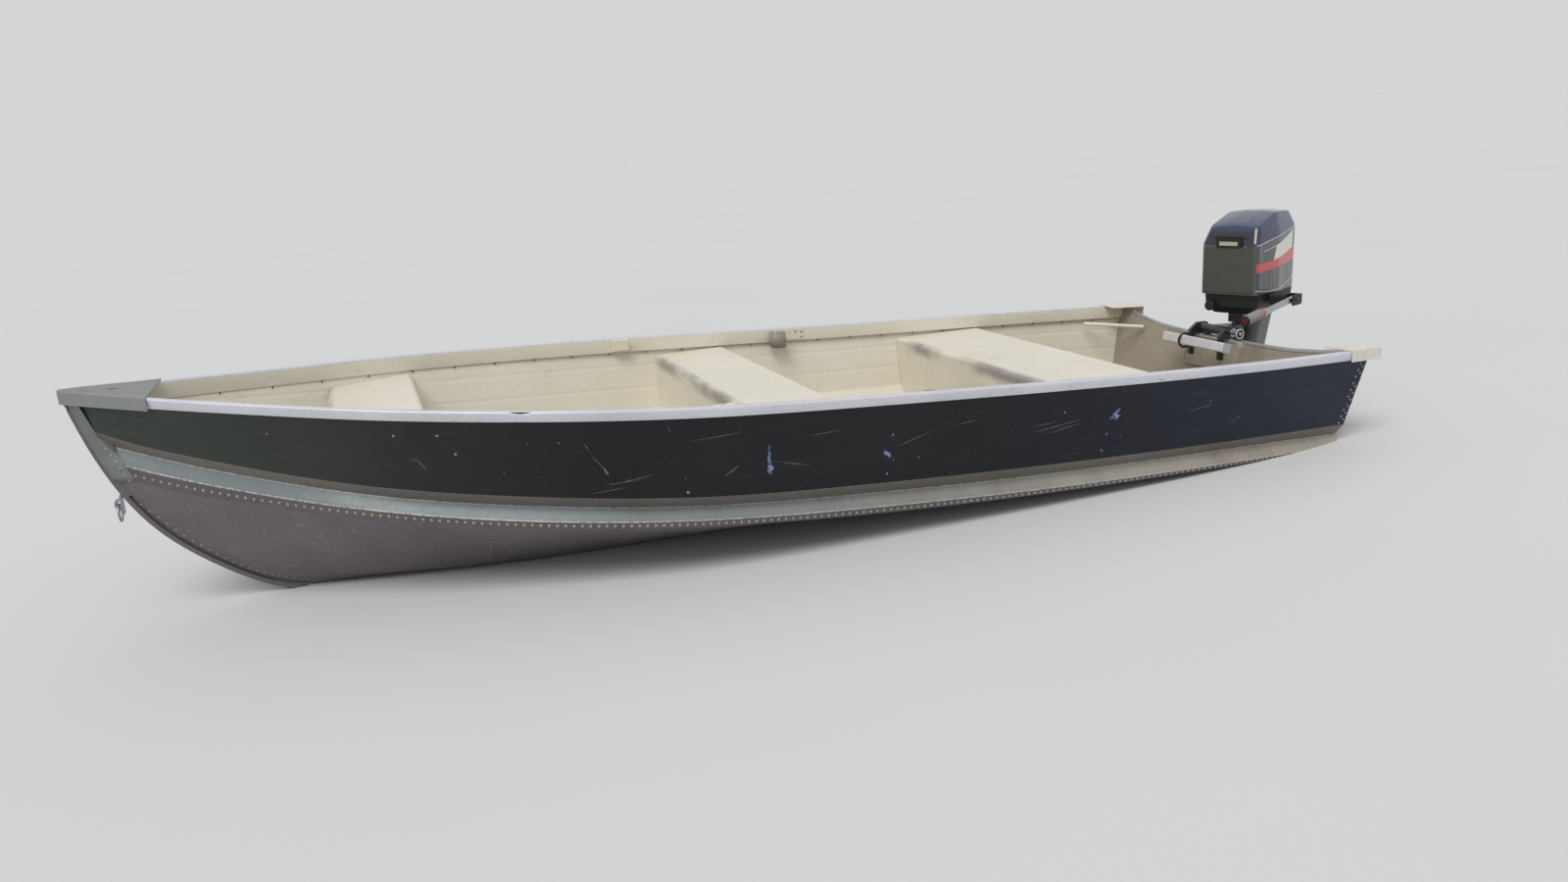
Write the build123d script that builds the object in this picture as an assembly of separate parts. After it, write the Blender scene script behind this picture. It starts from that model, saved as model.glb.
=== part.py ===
"""Open riveted aluminium rowing boat, 4.3 m, afloat with a tiller-steered outboard motor on its transom.

Pieces are drawn in the hull's own level frame (X to the bow, Y to port, Z up, keel level) and then
turned by the trim angle about the origin, so that Z = 0 is the water surface.
"""
import math
import os

from build123d import *

# Hull, in millimetres and degrees
TRIM = 2.0                  # bow-up angle at which the boat floats
SHEET = 3.0                 # side and bottom sheet, with its paint
LAP = 0.3                   # play between pieces that lie on each other
TRANSOM_TOP_X = -2122.0     # aft face of the transom at the height of the sheer
TRANSOM_TOP_Z = 412.0
TRANSOM_RAKE = 14.0         # lean aft from the vertical
TRANSOM_SHEET = 4.0
KEEL_Z = -81.0
STEM_TOP_X = 2178.0

# Each row is one section of the hull, from stern to bow. Beyond the transom and the stem the
# sections run on, and are cut off there. Columns: x; gunwale y, z; paint line y, z; top of the
# spray rail's facet y, z; its outer edge y, z; foot of its flange z; strake y, z; keel y, z.
HULL = [
    (-2150, 742, 411, 696, 128, 668, 84, 702, 52, 40, 350, -22, 0, -81),
    (-1400, 790, 440, 745, 158, 712, 119, 746, 78, 66, 372, -12, 0, -81),
    (-700, 785, 470, 733, 179, 700, 137, 737, 99, 82, 366, -3, 0, -81),
    (-100, 768, 500, 709, 205, 676, 165, 713, 129, 107, 340, 2, 0, -81),
    (450, 733, 531, 669, 241, 632, 202, 672, 168, 148, 290, -10, 0, -81),
    (950, 622, 565, 536, 290, 497, 250, 533, 212, 190, 215, -22, 0, -81),
    (1350, 469, 595, 385, 345, 345, 306, 372, 266, 240, 125, -14, 0, -76),
    (1650, 315, 620, 236, 404, 200, 366, 213, 320, 286, 62, 38, 0, -33),
    (1850, 208, 638, 142, 455, 105, 417, 120, 370, 330, 30, 140, 0, 90),
    (2000, 120, 652, 72, 500, 30, 461, 48, 414, 370, 12, 275, 0, 245),
    (2120, 50, 664, 12, 548, -22, 505, -8, 460, 415, -20, 385, -30, 350),
    (2180, 8, 669, -30, 570, -55, 530, -44, 490, 445, -50, 420, -60, 390),
]

# Gunwale extrusion
GUNWALE_WIDTH = 28.0
GUNWALE_LIP = 32.0          # outer face
GUNWALE_FLANGE = 57.0       # inner face
GUNWALE_WALL = 2.6

# Keel and stem bar
KEEL_BAR_WIDTH = 26.0
KEEL_BAR_DEPTH = 14.0
KNEE_DEPTH = 52.0           # plate behind the stem bar that both sides lie against
KNEE_WIDTH = 26.0
KNEE_POINTS = 4             # it runs along the last points of the stem's line
# Underside of the keel and front of the stem, from the heel up. Columns: x, z.
STEM_LINE = [(1350, -79), (1500, -68), (1620, -46), (1726, 2), (1834, 77), (1970, 206), (2048, 326),
             (2094, 431), (2124, 521), (2150, 616)]

# Benches. Columns: name, x aft, x forward, depth of the top below the sheer
BENCHES = [
    ("bow_bench", 1155.0, 1445.0, 76.0),
    ("middle_bench", -120.0, 180.0, 69.0),
    ("stern_bench", -1357.0, -942.0, 69.0),
]
BENCH_NOSE = 18.0
BENCH_FIT = 1.5             # gap from a bench to the sheets that it is riveted to

# Floor frames: x of each, between the benches
FRAMES = [-1800.0, -1580.0, -760.0, -540.0, -320.0, 380.0, 600.0, 820.0, 1020.0]
FRAME_WIDTH = 26.0
FRAME_HEIGHT = 20.0
FRAME_REACH = 40.0          # how far inside the chine a frame ends

# Transom
TRANSOM_DIP_Z = 358.0       # top edge where the motor hangs
TRANSOM_DIP_HALF = 250.0
TRANSOM_RISE_HALF = 660.0
TRANSOM_END_DROP = 9.0      # top edge below the sheer at the corners
PAD_HALF_WIDTH = 165.0
PAD_TOP_GAP = 6.0
PAD_HEIGHT = 132.0
PAD_CORNER = 28.0
INNER_PAD = 22.0
OUTER_PAD = 12.0
PAD_DISH = 4.0              # hollow inside the pad's rim
PAD_RIM = 11.0

# Caps
CAP_SHEET = 3.0
BOW_CAP_LIP = 38.0
BOW_CAP_AFT_X = 1925.0
BOW_HOLE_X = 2035.0
BOW_HOLE_LENGTH = 34.0
BOW_HOLE_WIDTH = 16.0
CORNER_CAP_LENGTH = 165.0
CORNER_CAP_WIDTH = 120.0
CORNER_CAP_LIP = 38.0
CORNER_CAP_OVERHANG = 62.0
CORNER_CAP_ROUND = 24.0
BRACE_Z = 338.0
BRACE_TRANSOM_Y = 520.0
BRACE_RUN = 210.0
BRACE_DIAMETER = 16.0

# Rowlocks
ROWLOCK_X = 330.0
ROWLOCK_PIN = 13.0          # bore for a half-inch pin
ROWLOCK_BLOCK = (70.0, 22.0, 46.0)

# Drain plug, low on the transom
PLUG_ABOVE_KEEL = 45.0
PLUG_DIAMETER = 32.0
PLUG_FLANGE = 6.0
PLUG_GRIP = 18.0

# Bow eye
EYE_X_Z = (2052.0, 300.0)
EYE_ROD = 9.0
RING_RADIUS = 26.0
RING_ROD = 7.0

# Outboard motor, in its own frame: origin at the tilt tube, X forward, motor straight ahead
TILT_X = -2092.0
TILT_Y = -45.0              # the motor hangs a little to starboard
TILT_Z = 386.0
TILT_TUBE = 24.0
TUBE_PLAY = 0.6             # on the diameter, round tubes, pins and screws
STEER_BACK = 116.0          # steering axis behind the tilt tube
STEER_REST = 22.0           # turned to port as the boat lies
STEER_PIN = 24.0
SWIVEL_TUBE = 52.0
SWIVEL_TOP = 18.0
SWIVEL_WEB_HALF = 50.0
SWIVEL_WEB_THICK = 28.0
SWIVEL_BOTTOM = -250.0
SWIVEL_RIB = 10.0
BOSS_DIAMETER = 40.0

# Clamp. The profile's columns are x and z of its corners, and the radius there.
BRACKET_Y = 84.0            # inner face of each clamp bracket
BRACKET_THICK = 16.0
BRACKET_BOTTOM = -235.0
HOOK_REACH = 62.0
HOOK_DROP = -112.0
HOOK_ARM = 22.0
CLAMP_WINDOW = [(-34, -42), (-20, -42), (-8, -128), (-22, -128), (-44, -92)]    # corners: x, z
WINDOW_ROUND = 3.0
SCREW_Z = -64.0
SCREW_DIAMETER = 12.0
SCREW_LENGTH = 78.0
SCREW_PAD = 34.0
SCREW_PAD_THICK = 6.0
LOCK_BAR_OUT = 88.0         # from the inner pad, along the screws
LOCK_BAR_HALF = 190.0
LOCK_BAR_SIZE = 40.0
LOCK_BAR_WALL = 3.0
LOCK_BAR_ROUND = 6.0

# Leg and gearcase
LEG_BACK = 112.0            # drive shaft behind the steering axis
LEG_TOP = (190.0, 130.0)    # length and width under the pan
LEG_MIDDLE = (150.0, 92.0)
LEG_FOOT = (164.0, 58.0)
LEG_MIDDLE_Z = -90.0
YOKE_HALF = 34.0
YOKE_AHEAD = 30.0
LOW_YOKE_HALF = 26.0
PLATE_BELOW_KEEL = 25.0
PLATE_HALF = (165.0, 84.0)
PLATE_THICK = 7.0
PROP_BELOW_PLATE = 165.0
PROP_RADIUS = 122.0
PROP_BORE = 16.0
HUB_RADIUS = 32.0
HUB_LENGTH = 96.0
HUB_GAP = 3.0
BLADES = 3
BLADE_THICK = 7.0
SKEG_BELOW_SHAFT = 165.0
SKEG_THICK = 8.0
TORPEDO_RADIUS = 40.0
TORPEDO_AHEAD = 122.0
TORPEDO_BACK = 120.0

# Propeller blade. Columns: radius, chord, pitch angle, backward sweep of the chord's middle
BLADE = [
    (28.0, 58.0, 60.0, 0.0),
    (52.0, 82.0, 50.0, 2.0),
    (78.0, 92.0, 40.0, 6.0),
    (102.0, 78.0, 33.0, 12.0),
    (118.0, 46.0, 29.0, 17.0),
    (122.0, 14.0, 28.0, 19.0),
]

# Cowl, seen from above, from its front at x = 0. Columns: x, half-width, radius of that corner
COWL_FRONT = 102.0          # ahead of the steering axis
COWL_PLAN = [(0.0, 124.0, 26.0), (-170.0, 134.0, 200.0), (-350.0, 116.0, 90.0), (-425.0, 60.0, 50.0)]
COWL_BOTTOM = 66.0          # above the tilt tube
COWL_SPLIT = 150.0
COWL_SHOULDER = 362.0       # where the sides turn in to the sloping roof
COWL_LIP = 438.0            # front edge of the crowned top
COWL_TOP = 484.0
COWL_REAR_TOP = 462.0
COWL_WALL = 4.0
ROOF_LEAN = (0.76, 0.46)    # run of the roof's slope for each unit of rise: front, sides and rear
PAN_INSET = 26.0
PAN_FLOOR = 5.0
PANEL_HALF = 108.0
PANEL_THICK = 3.0
PANEL_GAP = 6.0
PULL_Z = 362.0
PULL_HALF = 56.0
PULL_HEIGHT = 34.0
PULL_DEPTH = 24.0
KNOB_Y = -82.0
KNOB_Z = 98.0
KNOB_DIAMETER = 42.0

# Tiller, from the steering axis
TILLER_Y = 215.0
TILLER_Z = 126.0
TILLER_BASE_X = -20.0
TILLER_LENGTH = 390.0
TILLER_DOWN = 5.0           # slope of the arm
ARM_PIN = 10.0
ARM_HEEL = -18.0            # behind the arm's hinge pin
EAR_THICKNESS = 7.0
GRIP_LENGTH = 126.0
GRIP_DIAMETER = 42.0
GRIP_RIBS = 5
ARM_DIAMETER = 28.0
COLLAR_LENGTH = 26.0

OUT = "parts"
pieces = {}
curves = {}


def hull_curve(y_column, z_column):
    """Fair curve through two columns of the hull table."""
    key = (y_column, z_column)
    if key not in curves:
        stations = [row[0] for row in HULL]
        shares = [(x - stations[0]) / (stations[-1] - stations[0]) for x in stations]
        points = [Vector(row[0], row[y_column], row[z_column]) for row in HULL]
        curves[key] = Edge.make_spline(points, parameters=shares)
    return curves[key]


def on_line(x, y_column, z_column):
    """Point (y, z) at x of the fair curve through two columns, found by halving."""
    curve = hull_curve(y_column, z_column)
    low, high = 0.0, 1.0
    for _ in range(30):
        middle = (low + high) / 2
        if curve.position_at(middle).X < x:
            low = middle
        else:
            high = middle
    point = curve.position_at((low + high) / 2)
    return point.Y, point.Z


def sheer(x):
    """Half-beam and height of the gunwale at x."""
    return on_line(x, 1, 2)


def inset(points, distance):
    """The same bent line set inward by a distance, with mitred corners."""
    normals = []
    for (y0, z0), (y1, z1) in zip(points, points[1:]):
        length = math.hypot(y1 - y0, z1 - z0)
        normals.append(((z1 - z0) / length, -(y1 - y0) / length))
    inner = []
    for i, (y, z) in enumerate(points):
        before = normals[max(i - 1, 0)]
        after = normals[min(i, len(normals) - 1)]
        ny, nz = before[0] + after[0], before[1] + after[1]
        scale = distance * 2 / (ny * ny + nz * nz)
        inner.append((y + ny * scale, z + nz * scale))
    return inner


def ribbon(points, thickness):
    """Closed outline of a bent sheet."""
    return points + inset(points, thickness)[::-1]


def long_body(stations, outlines):
    """Closed solid through flat outlines at the stations: a fair curve through each corner, and a
    surface ruled between neighbouring curves."""
    corners = [[Vector(x, y, z) for y, z in outline] for x, outline in zip(stations, outlines)]
    count = len(corners[0])
    shares = [(x - stations[0]) / (stations[-1] - stations[0]) for x in stations]
    lines = [Edge.make_spline([section[i] for section in corners], parameters=shares) for i in range(count)]
    faces = [Face.make_surface_from_curves(lines[i], lines[(i + 1) % count]) for i in range(count)]
    faces += [Face(Wire.make_polygon(corners[end], close=True)) for end in (0, -1)]
    body = Solid(Shell(faces))
    return body if body.volume > 0 else -body


def fair_body(sections, stations):
    """Closed solid through bent sections of points: a fair curve through each corner, and a surface
    ruled between neighbouring curves, with the ends filled."""
    count = len(sections[0])
    shares = [(x - stations[0]) / (stations[-1] - stations[0]) for x in stations]
    lines = [Edge.make_spline([section[i] for section in sections], parameters=shares)
             for i in range(count)]
    faces = [Face.make_surface_from_curves(lines[i], lines[(i + 1) % count]) for i in range(count)]
    for end in (0, -1):
        section = sections[end]
        middle = count // 2
        triangles = [(section[0], section[1], section[-1]),
                     (section[middle], section[middle + 1], section[middle - 1])]
        for k in range(1, middle - 1):
            a, b, c, d = section[k], section[k + 1], section[-k - 1], section[-k]
            triangles += [(a, b, c), (a, c, d)]
        faces += [Face(Wire.make_polygon(triangle, close=True)) for triangle in triangles]
    body = Solid(Shell(faces))
    return body if body.volume > 0 else -body


def hull_loft(outline_of_row, rows=HULL):
    return long_body([row[0] for row in rows], [outline_of_row(row) for row in rows])


def mirrored(shape):
    return mirror(shape, about=Plane.XZ)


def transom_x(z):
    """Aft face of the transom at a height."""
    return TRANSOM_TOP_X + (TRANSOM_TOP_Z - z) * math.tan(math.radians(TRANSOM_RAKE))


def transom_plane(forward=0.0):
    """Plane of the transom's aft face, moved forward; its normal points forward and slightly up."""
    rake = math.radians(TRANSOM_RAKE)
    normal = Vector(math.cos(rake), 0, math.sin(rake))
    start = Vector(TRANSOM_TOP_X, 0, TRANSOM_TOP_Z) + normal * forward
    return Plane(origin=start, x_dir=Vector(0, 1, 0), z_dir=normal)


def half_space(plane, depth=5000.0, size=6000.0):
    """Block on the positive side of a plane."""
    return extrude(plane * Rectangle(size, size), depth)


def box(x0, x1, y0, y1, z0, z1):
    centre = ((x0 + x1) / 2, (y0 + y1) / 2, (z0 + z1) / 2)
    return Pos(*centre) * Box(x1 - x0, y1 - y0, z1 - z0)


def round_box(x0, x1, y0, y1, z0, z1, radius):
    return fillet(box(x0, x1, y0, y1, z0, z1).edges(), radius)


def rod(start, end, diameter):
    """Round bar between two points."""
    a, b = Vector(*start), Vector(*end)
    plane = Plane(origin=a, z_dir=b - a)
    return extrude(plane * Circle(diameter / 2), (b - a).length)


def side_line(row):
    x, gy, gz, py, pz, fy, fz, ey, ez, flange, my, mz, ky, kz = row
    return [(gy, gz - GUNWALE_WALL - LAP), (py, pz), (fy, fz), (ey, ez), (ey, flange)]


def bottom_line(row):
    x, gy, gz, py, pz, fy, fz, ey, ez, flange, my, mz, ky, kz = row
    inside = ey - SHEET - LAP
    past = 6
    return [(inside, (ez + flange) / 2 + 2), (inside, flange + 1), (my, mz),
            (ky - past, kz - past * (mz - kz) / (my - ky))]


def gunwale_section(row):
    gy, gz, py, pz = row[1:5]
    lean = (gy - py) / (gz - pz)
    wall, lip = GUNWALE_WALL, GUNWALE_LIP
    drop = (lip - wall) * lean
    out = gy + LAP + wall
    inn = gy - GUNWALE_WIDTH
    return [
        (out - drop, gz - lip), (out, gz - wall), (out - wall, gz), (inn + wall, gz), (inn, gz - wall),
        (inn, gz - GUNWALE_FLANGE), (inn + wall, gz - GUNWALE_FLANGE), (inn + wall, gz - wall),
        (gy + LAP, gz - wall), (gy + LAP - drop, gz - lip),
    ]


def inner_outline(row, clearance, lift=0.0):
    """Outline of the room inside the sheets, both sides, kept off them by a clearance."""
    x, gy, gz, py, pz, fy, fz, ey, ez, flange, my, mz, ky, kz = row
    chine_y, chine_z = bottom_line(row)[1]
    slope = (chine_z - mz) / (chine_y - my)
    line = [(gy, gz), (py, pz), (fy, fz), (fy, mz + slope * (fy - my)), (my, mz), (0, kz)]
    near = inset(line, SHEET + clearance)
    rise = (mz - kz) / my
    near[-1] = (0, kz + (SHEET + clearance) * math.hypot(1, rise))
    raised = [(y, z + lift) for y, z in near]
    return raised + [(-y, z) for y, z in raised[-2::-1]]


def inner_room(clearance, lift=0.0):
    rows = [row for row in HULL if row[0] <= 1850]
    return hull_loft(lambda row: inner_outline(row, clearance, lift), rows)


port_half = box(-2600, STEM_TOP_X - 8, 0.3, 1200, -400, 1200)
forward_of_transom = half_space(transom_plane())


def build_hull():
    side = hull_loft(lambda row: ribbon(side_line(row), SHEET)) & forward_of_transom & port_half
    bottom = hull_loft(lambda row: ribbon(bottom_line(row), SHEET)) & forward_of_transom & port_half
    gunwale = hull_loft(gunwale_section) & half_space(transom_plane(TRANSOM_SHEET + LAP))
    gunwale &= box(-2600, STEM_TOP_X - 40, 0.3, 1200, -400, 1200)
    for name, shape in (("side", side), ("bottom", bottom), ("gunwale", gunwale)):
        pieces[name + "_port"] = shape
        pieces[name + "_starboard"] = mirrored(shape)


def on_transom(plane, y, z):
    """Point in a plane parallel to the transom, at a height of the level hull."""
    rise = (z - plane.origin.Z) / plane.y_dir.Z
    return plane.origin + plane.x_dir * (y / plane.x_dir.Y) + plane.y_dir * rise


def build_transom():
    slab = extrude(transom_plane() * Rectangle(2000, 2000), TRANSOM_SHEET)
    end_z = TRANSOM_TOP_Z - TRANSOM_END_DROP
    dip = Spline((-TRANSOM_RISE_HALF, end_z), (-TRANSOM_DIP_HALF, TRANSOM_DIP_Z), (0, TRANSOM_DIP_Z),
                 (TRANSOM_DIP_HALF, TRANSOM_DIP_Z), (TRANSOM_RISE_HALF, end_z))
    rest = Polyline((TRANSOM_RISE_HALF, end_z), (900, end_z), (900, 1000), (-900, 1000), (-900, end_z),
                    (-TRANSOM_RISE_HALF, end_z))
    behind = Plane(origin=(TRANSOM_TOP_X - 280, 0, 0), x_dir=(0, 1, 0), z_dir=(1, 0, 0))
    above = extrude(behind * make_face([dip, rest]), 600)
    pieces["transom"] = (slab & inner_room(3 * LAP)) - above

    middle = TRANSOM_DIP_Z - PAD_TOP_GAP - PAD_HEIGHT / 2 * math.cos(math.radians(TRANSOM_RAKE))
    for name, near, thick in (("inner", TRANSOM_SHEET + LAP, INNER_PAD),
                              ("outer", -LAP - OUTER_PAD, OUTER_PAD)):
        plane = transom_plane(near)
        plane = Plane(on_transom(plane, TILT_Y, middle), x_dir=plane.x_dir, z_dir=plane.z_dir)
        pad = extrude(plane * RectangleRounded(2 * PAD_HALF_WIDTH, PAD_HEIGHT, PAD_CORNER), thick)
        if name == "inner":
            dish = RectangleRounded(2 * (PAD_HALF_WIDTH - PAD_RIM), PAD_HEIGHT - 2 * PAD_RIM,
                                    PAD_CORNER - PAD_RIM)
            pad -= extrude(plane.offset(thick - PAD_DISH) * dish, 2 * PAD_DISH)
        pieces["transom_pad_" + name] = pad


def build_keel():
    lower = [(transom_x(KEEL_Z) + 2, KEEL_Z - 1), *STEM_LINE]
    curve = Spline(*STEM_LINE)
    out = offset_points(lower, KEEL_BAR_DEPTH)
    back = Spline(*[(x, z) for x, z in out[1:]][::-1])
    start = Line(lower[0], lower[1])
    end = Line(out[1], out[0])
    top = Line(lower[-1], out[-1])
    heel = Line(out[0], lower[0])
    profile = make_face([Plane.XZ * edge for edge in (start, curve, top, back, end, heel)])
    bar = extrude(profile, KEEL_BAR_WIDTH / 2, both=True)
    knee = [(x + KEEL_BAR_DEPTH / 2, z) for x, z in STEM_LINE[-KNEE_POINTS:]]
    knee += [(x - KNEE_DEPTH, z) for x, z in STEM_LINE[:-KNEE_POINTS - 1:-1]]
    bar += extrude(Plane.XZ * make_face(Polyline(*knee, close=True)), KNEE_WIDTH / 2, both=True)
    for name in ("side", "bottom", "gunwale"):
        bar -= pieces[name + "_port"]
        bar -= pieces[name + "_starboard"]
    pieces["keel"] = bar.solids().sort_by(SortBy.VOLUME)[-1]


def offset_points(points, distance):
    """The same line set outward, below and ahead of the hull."""
    out = []
    for i, (x, z) in enumerate(points):
        x0, z0 = points[max(i - 1, 0)]
        x1, z1 = points[min(i + 1, len(points) - 1)]
        length = math.hypot(x1 - x0, z1 - z0)
        out.append((x + (z1 - z0) / length * distance, z - (x1 - x0) / length * distance))
    return out


def build_benches():
    room = inner_room(BENCH_FIT)
    for name, aft, fore, drop in BENCHES:
        top = sheer((aft + fore) / 2)[1] - drop
        block = box(aft, fore, -900, 900, -200, top)
        block = fillet(block.edges().filter_by(Axis.Y).group_by(Axis.Z)[-1], BENCH_NOSE)
        core = box(aft + SHEET, fore - SHEET, -901, 901, -201, top - SHEET)
        core = fillet(core.edges().filter_by(Axis.Y).group_by(Axis.Z)[-1], BENCH_NOSE - SHEET)
        pieces[name] = (block - core) & room


def build_frames():
    room = inner_room(BENCH_FIT)
    bars = []
    for x in FRAMES:
        reach = on_line(x, 7, 9)[0] - FRAME_REACH
        middle_y, middle_z = on_line(x, 10, 11)
        chine_y, chine_z = on_line(x, 7, 9)
        end_z = middle_z + (chine_z - middle_z) * (reach - middle_y) / (chine_y - middle_y)
        top = [(reach, end_z), (middle_y, middle_z), (0, on_line(x, 12, 13)[1])]
        top = [(y, z + SHEET + FRAME_HEIGHT) for y, z in top]
        outline = [(reach, -300)] + top + [(-y, z) for y, z in top[1::-1]] + [(-reach, -300)]
        face = Face(Wire.make_polygon([Vector(x - FRAME_WIDTH / 2, y, z) for y, z in outline], close=True))
        bars.append(extrude(face, FRAME_WIDTH, dir=(1, 0, 0)) & room)
    pieces["floor_frames"] = Compound([solid for bar in bars for solid in bar.solids()])


def build_bow():
    stations = [BOW_CAP_AFT_X + (STEM_TOP_X - BOW_CAP_AFT_X) * k / 8 for k in range(9)]
    outer, inner = [], []
    for x in stations:
        half_beam, height = sheer(x)
        half = max(half_beam, 4) + LAP + GUNWALE_WALL + 3 * LAP
        top = height + 2 * LAP
        w = half + CAP_SHEET
        low = top - BOW_CAP_LIP
        ridge = top + CAP_SHEET
        outer.append([(-w, low), (-w, top), (-half, ridge), (half, ridge), (w, top), (w, low)])
        inner.append([(-half, low - 5), (-half, top), (half, top), (half, low - 5)])
    nose = stations[-1]
    hollow = long_body(stations, inner) & box(0, nose - CAP_SHEET, -400, 400, 0, 900)
    cap = long_body(stations, outer) - hollow
    top = sheer(BOW_HOLE_X)[1]
    hole = extrude(Pos(BOW_HOLE_X, 0, top - 30) * SlotOverall(BOW_HOLE_LENGTH, BOW_HOLE_WIDTH), 60)
    pieces["bow_cap"] = cap - hole

    x, z = EYE_X_Z
    eye_x = x + KEEL_BAR_DEPTH
    eye = Pos(eye_x + 4, 0, z) * Rot(90, 0, 0) * Torus(18, EYE_ROD / 2)
    eye = eye & box(eye_x + 6, eye_x + 80, -40, 40, z - 60, z + 60)
    plate = box(eye_x + 1, eye_x + 7, -13, 13, z - 30, z + 30)
    pieces["bow_eye"] = eye + plate
    centre = eye_x + 4 + 18 - EYE_ROD / 2 - RING_ROD / 2
    ring = Pos(centre, 0, z - RING_RADIUS) * Rot(0, 90, 0) * Torus(RING_RADIUS, RING_ROD / 2)
    pieces["bow_ring"] = ring


def build_corner_caps():
    start, ahead = sheer(TRANSOM_TOP_X), sheer(TRANSOM_TOP_X + CORNER_CAP_LENGTH)
    turn = math.degrees(math.atan((ahead[0] - start[0]) / CORNER_CAP_LENGTH))
    climb = math.degrees(math.atan((ahead[1] - start[1]) / CORNER_CAP_LENGTH))
    place = Pos(TRANSOM_TOP_X, start[0] + GUNWALE_WALL + 5 * LAP, start[1] + 3 * LAP) * Rot(0, -climb, turn)
    aft, fore = -CORNER_CAP_OVERHANG, CORNER_CAP_LENGTH - CORNER_CAP_OVERHANG
    cap = box(aft, fore, -CORNER_CAP_WIDTH, CAP_SHEET, -CORNER_CAP_LIP, CAP_SHEET)
    cap = fillet(cap.edges().filter_by(Axis.Z).group_by(Axis.X)[0], CORNER_CAP_ROUND)
    room = box(aft, fore + 1, -CORNER_CAP_WIDTH - 1, 0, -CORNER_CAP_LIP - 1, 0)
    room = fillet(room.edges().filter_by(Axis.Z).group_by(Axis.X)[0], CORNER_CAP_ROUND - CAP_SHEET)
    room = Pos(CAP_SHEET, 0, 0) * room
    cap = place * (cap - room)
    pieces["corner_cap_port"] = cap
    pieces["corner_cap_starboard"] = mirrored(cap)

    for side, sign in (("port", 1), ("starboard", -1)):
        a = (transom_x(BRACE_Z) + TRANSOM_SHEET + 16, sign * BRACE_TRANSOM_Y, BRACE_Z)
        x = transom_x(BRACE_Z) + BRACE_RUN
        b = (x, sign * (sheer(x)[0] - GUNWALE_WIDTH - 24), BRACE_Z + 10)
        pieces["corner_brace_" + side] = rod(a, b, BRACE_DIAMETER)


def build_rowlocks():
    length, width, height = ROWLOCK_BLOCK
    ahead = sheer(ROWLOCK_X + length / 2)[0]
    top = sheer(ROWLOCK_X)[1] - 2
    inner = ahead - GUNWALE_WIDTH - 2 * LAP
    aft, fore = ROWLOCK_X - length / 2, ROWLOCK_X + length / 2
    block = round_box(aft, fore, inner - width, inner, top - height, top, 3)
    bore = Pos(ROWLOCK_X, inner - width / 2, top - height / 2) * Cylinder(ROWLOCK_PIN / 2, height + 10)
    block -= bore
    pieces["rowlock_socket_port"] = block
    pieces["rowlock_socket_starboard"] = mirrored(block)


def build_drain_plug():
    plane = transom_plane(-LAP)
    spot = Plane(on_transom(plane, 0, KEEL_Z + PLUG_ABOVE_KEEL), x_dir=plane.x_dir, z_dir=-plane.z_dir)
    flange = chamfer(extrude(spot * Circle(PLUG_DIAMETER / 2), PLUG_FLANGE).edges().group_by(Axis.X)[0], 1)
    pieces["drain_plug"] = flange + extrude(spot * Rectangle(PLUG_GRIP, 8), PLUG_FLANGE + 8)


def motor_place(steered):
    """Placement of the motor's own frame: tilt tube at the origin, steered about its axis if asked."""
    base = Pos(TILT_X, TILT_Y, TILT_Z)
    if not steered:
        return base
    return base * Pos(-STEER_BACK, 0, 0) * Rot(0, 0, STEER_REST) * Pos(STEER_BACK, 0, 0)


def side_face(corners, radii):
    """Face in the motor's middle plane from its corners (x, z), each rounded by its own radius."""
    return make_face(FilletPolyline(*corners, radius=radii, close=True))


def both_ways(face, thick):
    """A face of the middle plane made a plate of that thickness about it."""
    return extrude(Plane.XZ * face, thick / 2, both=True)


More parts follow.
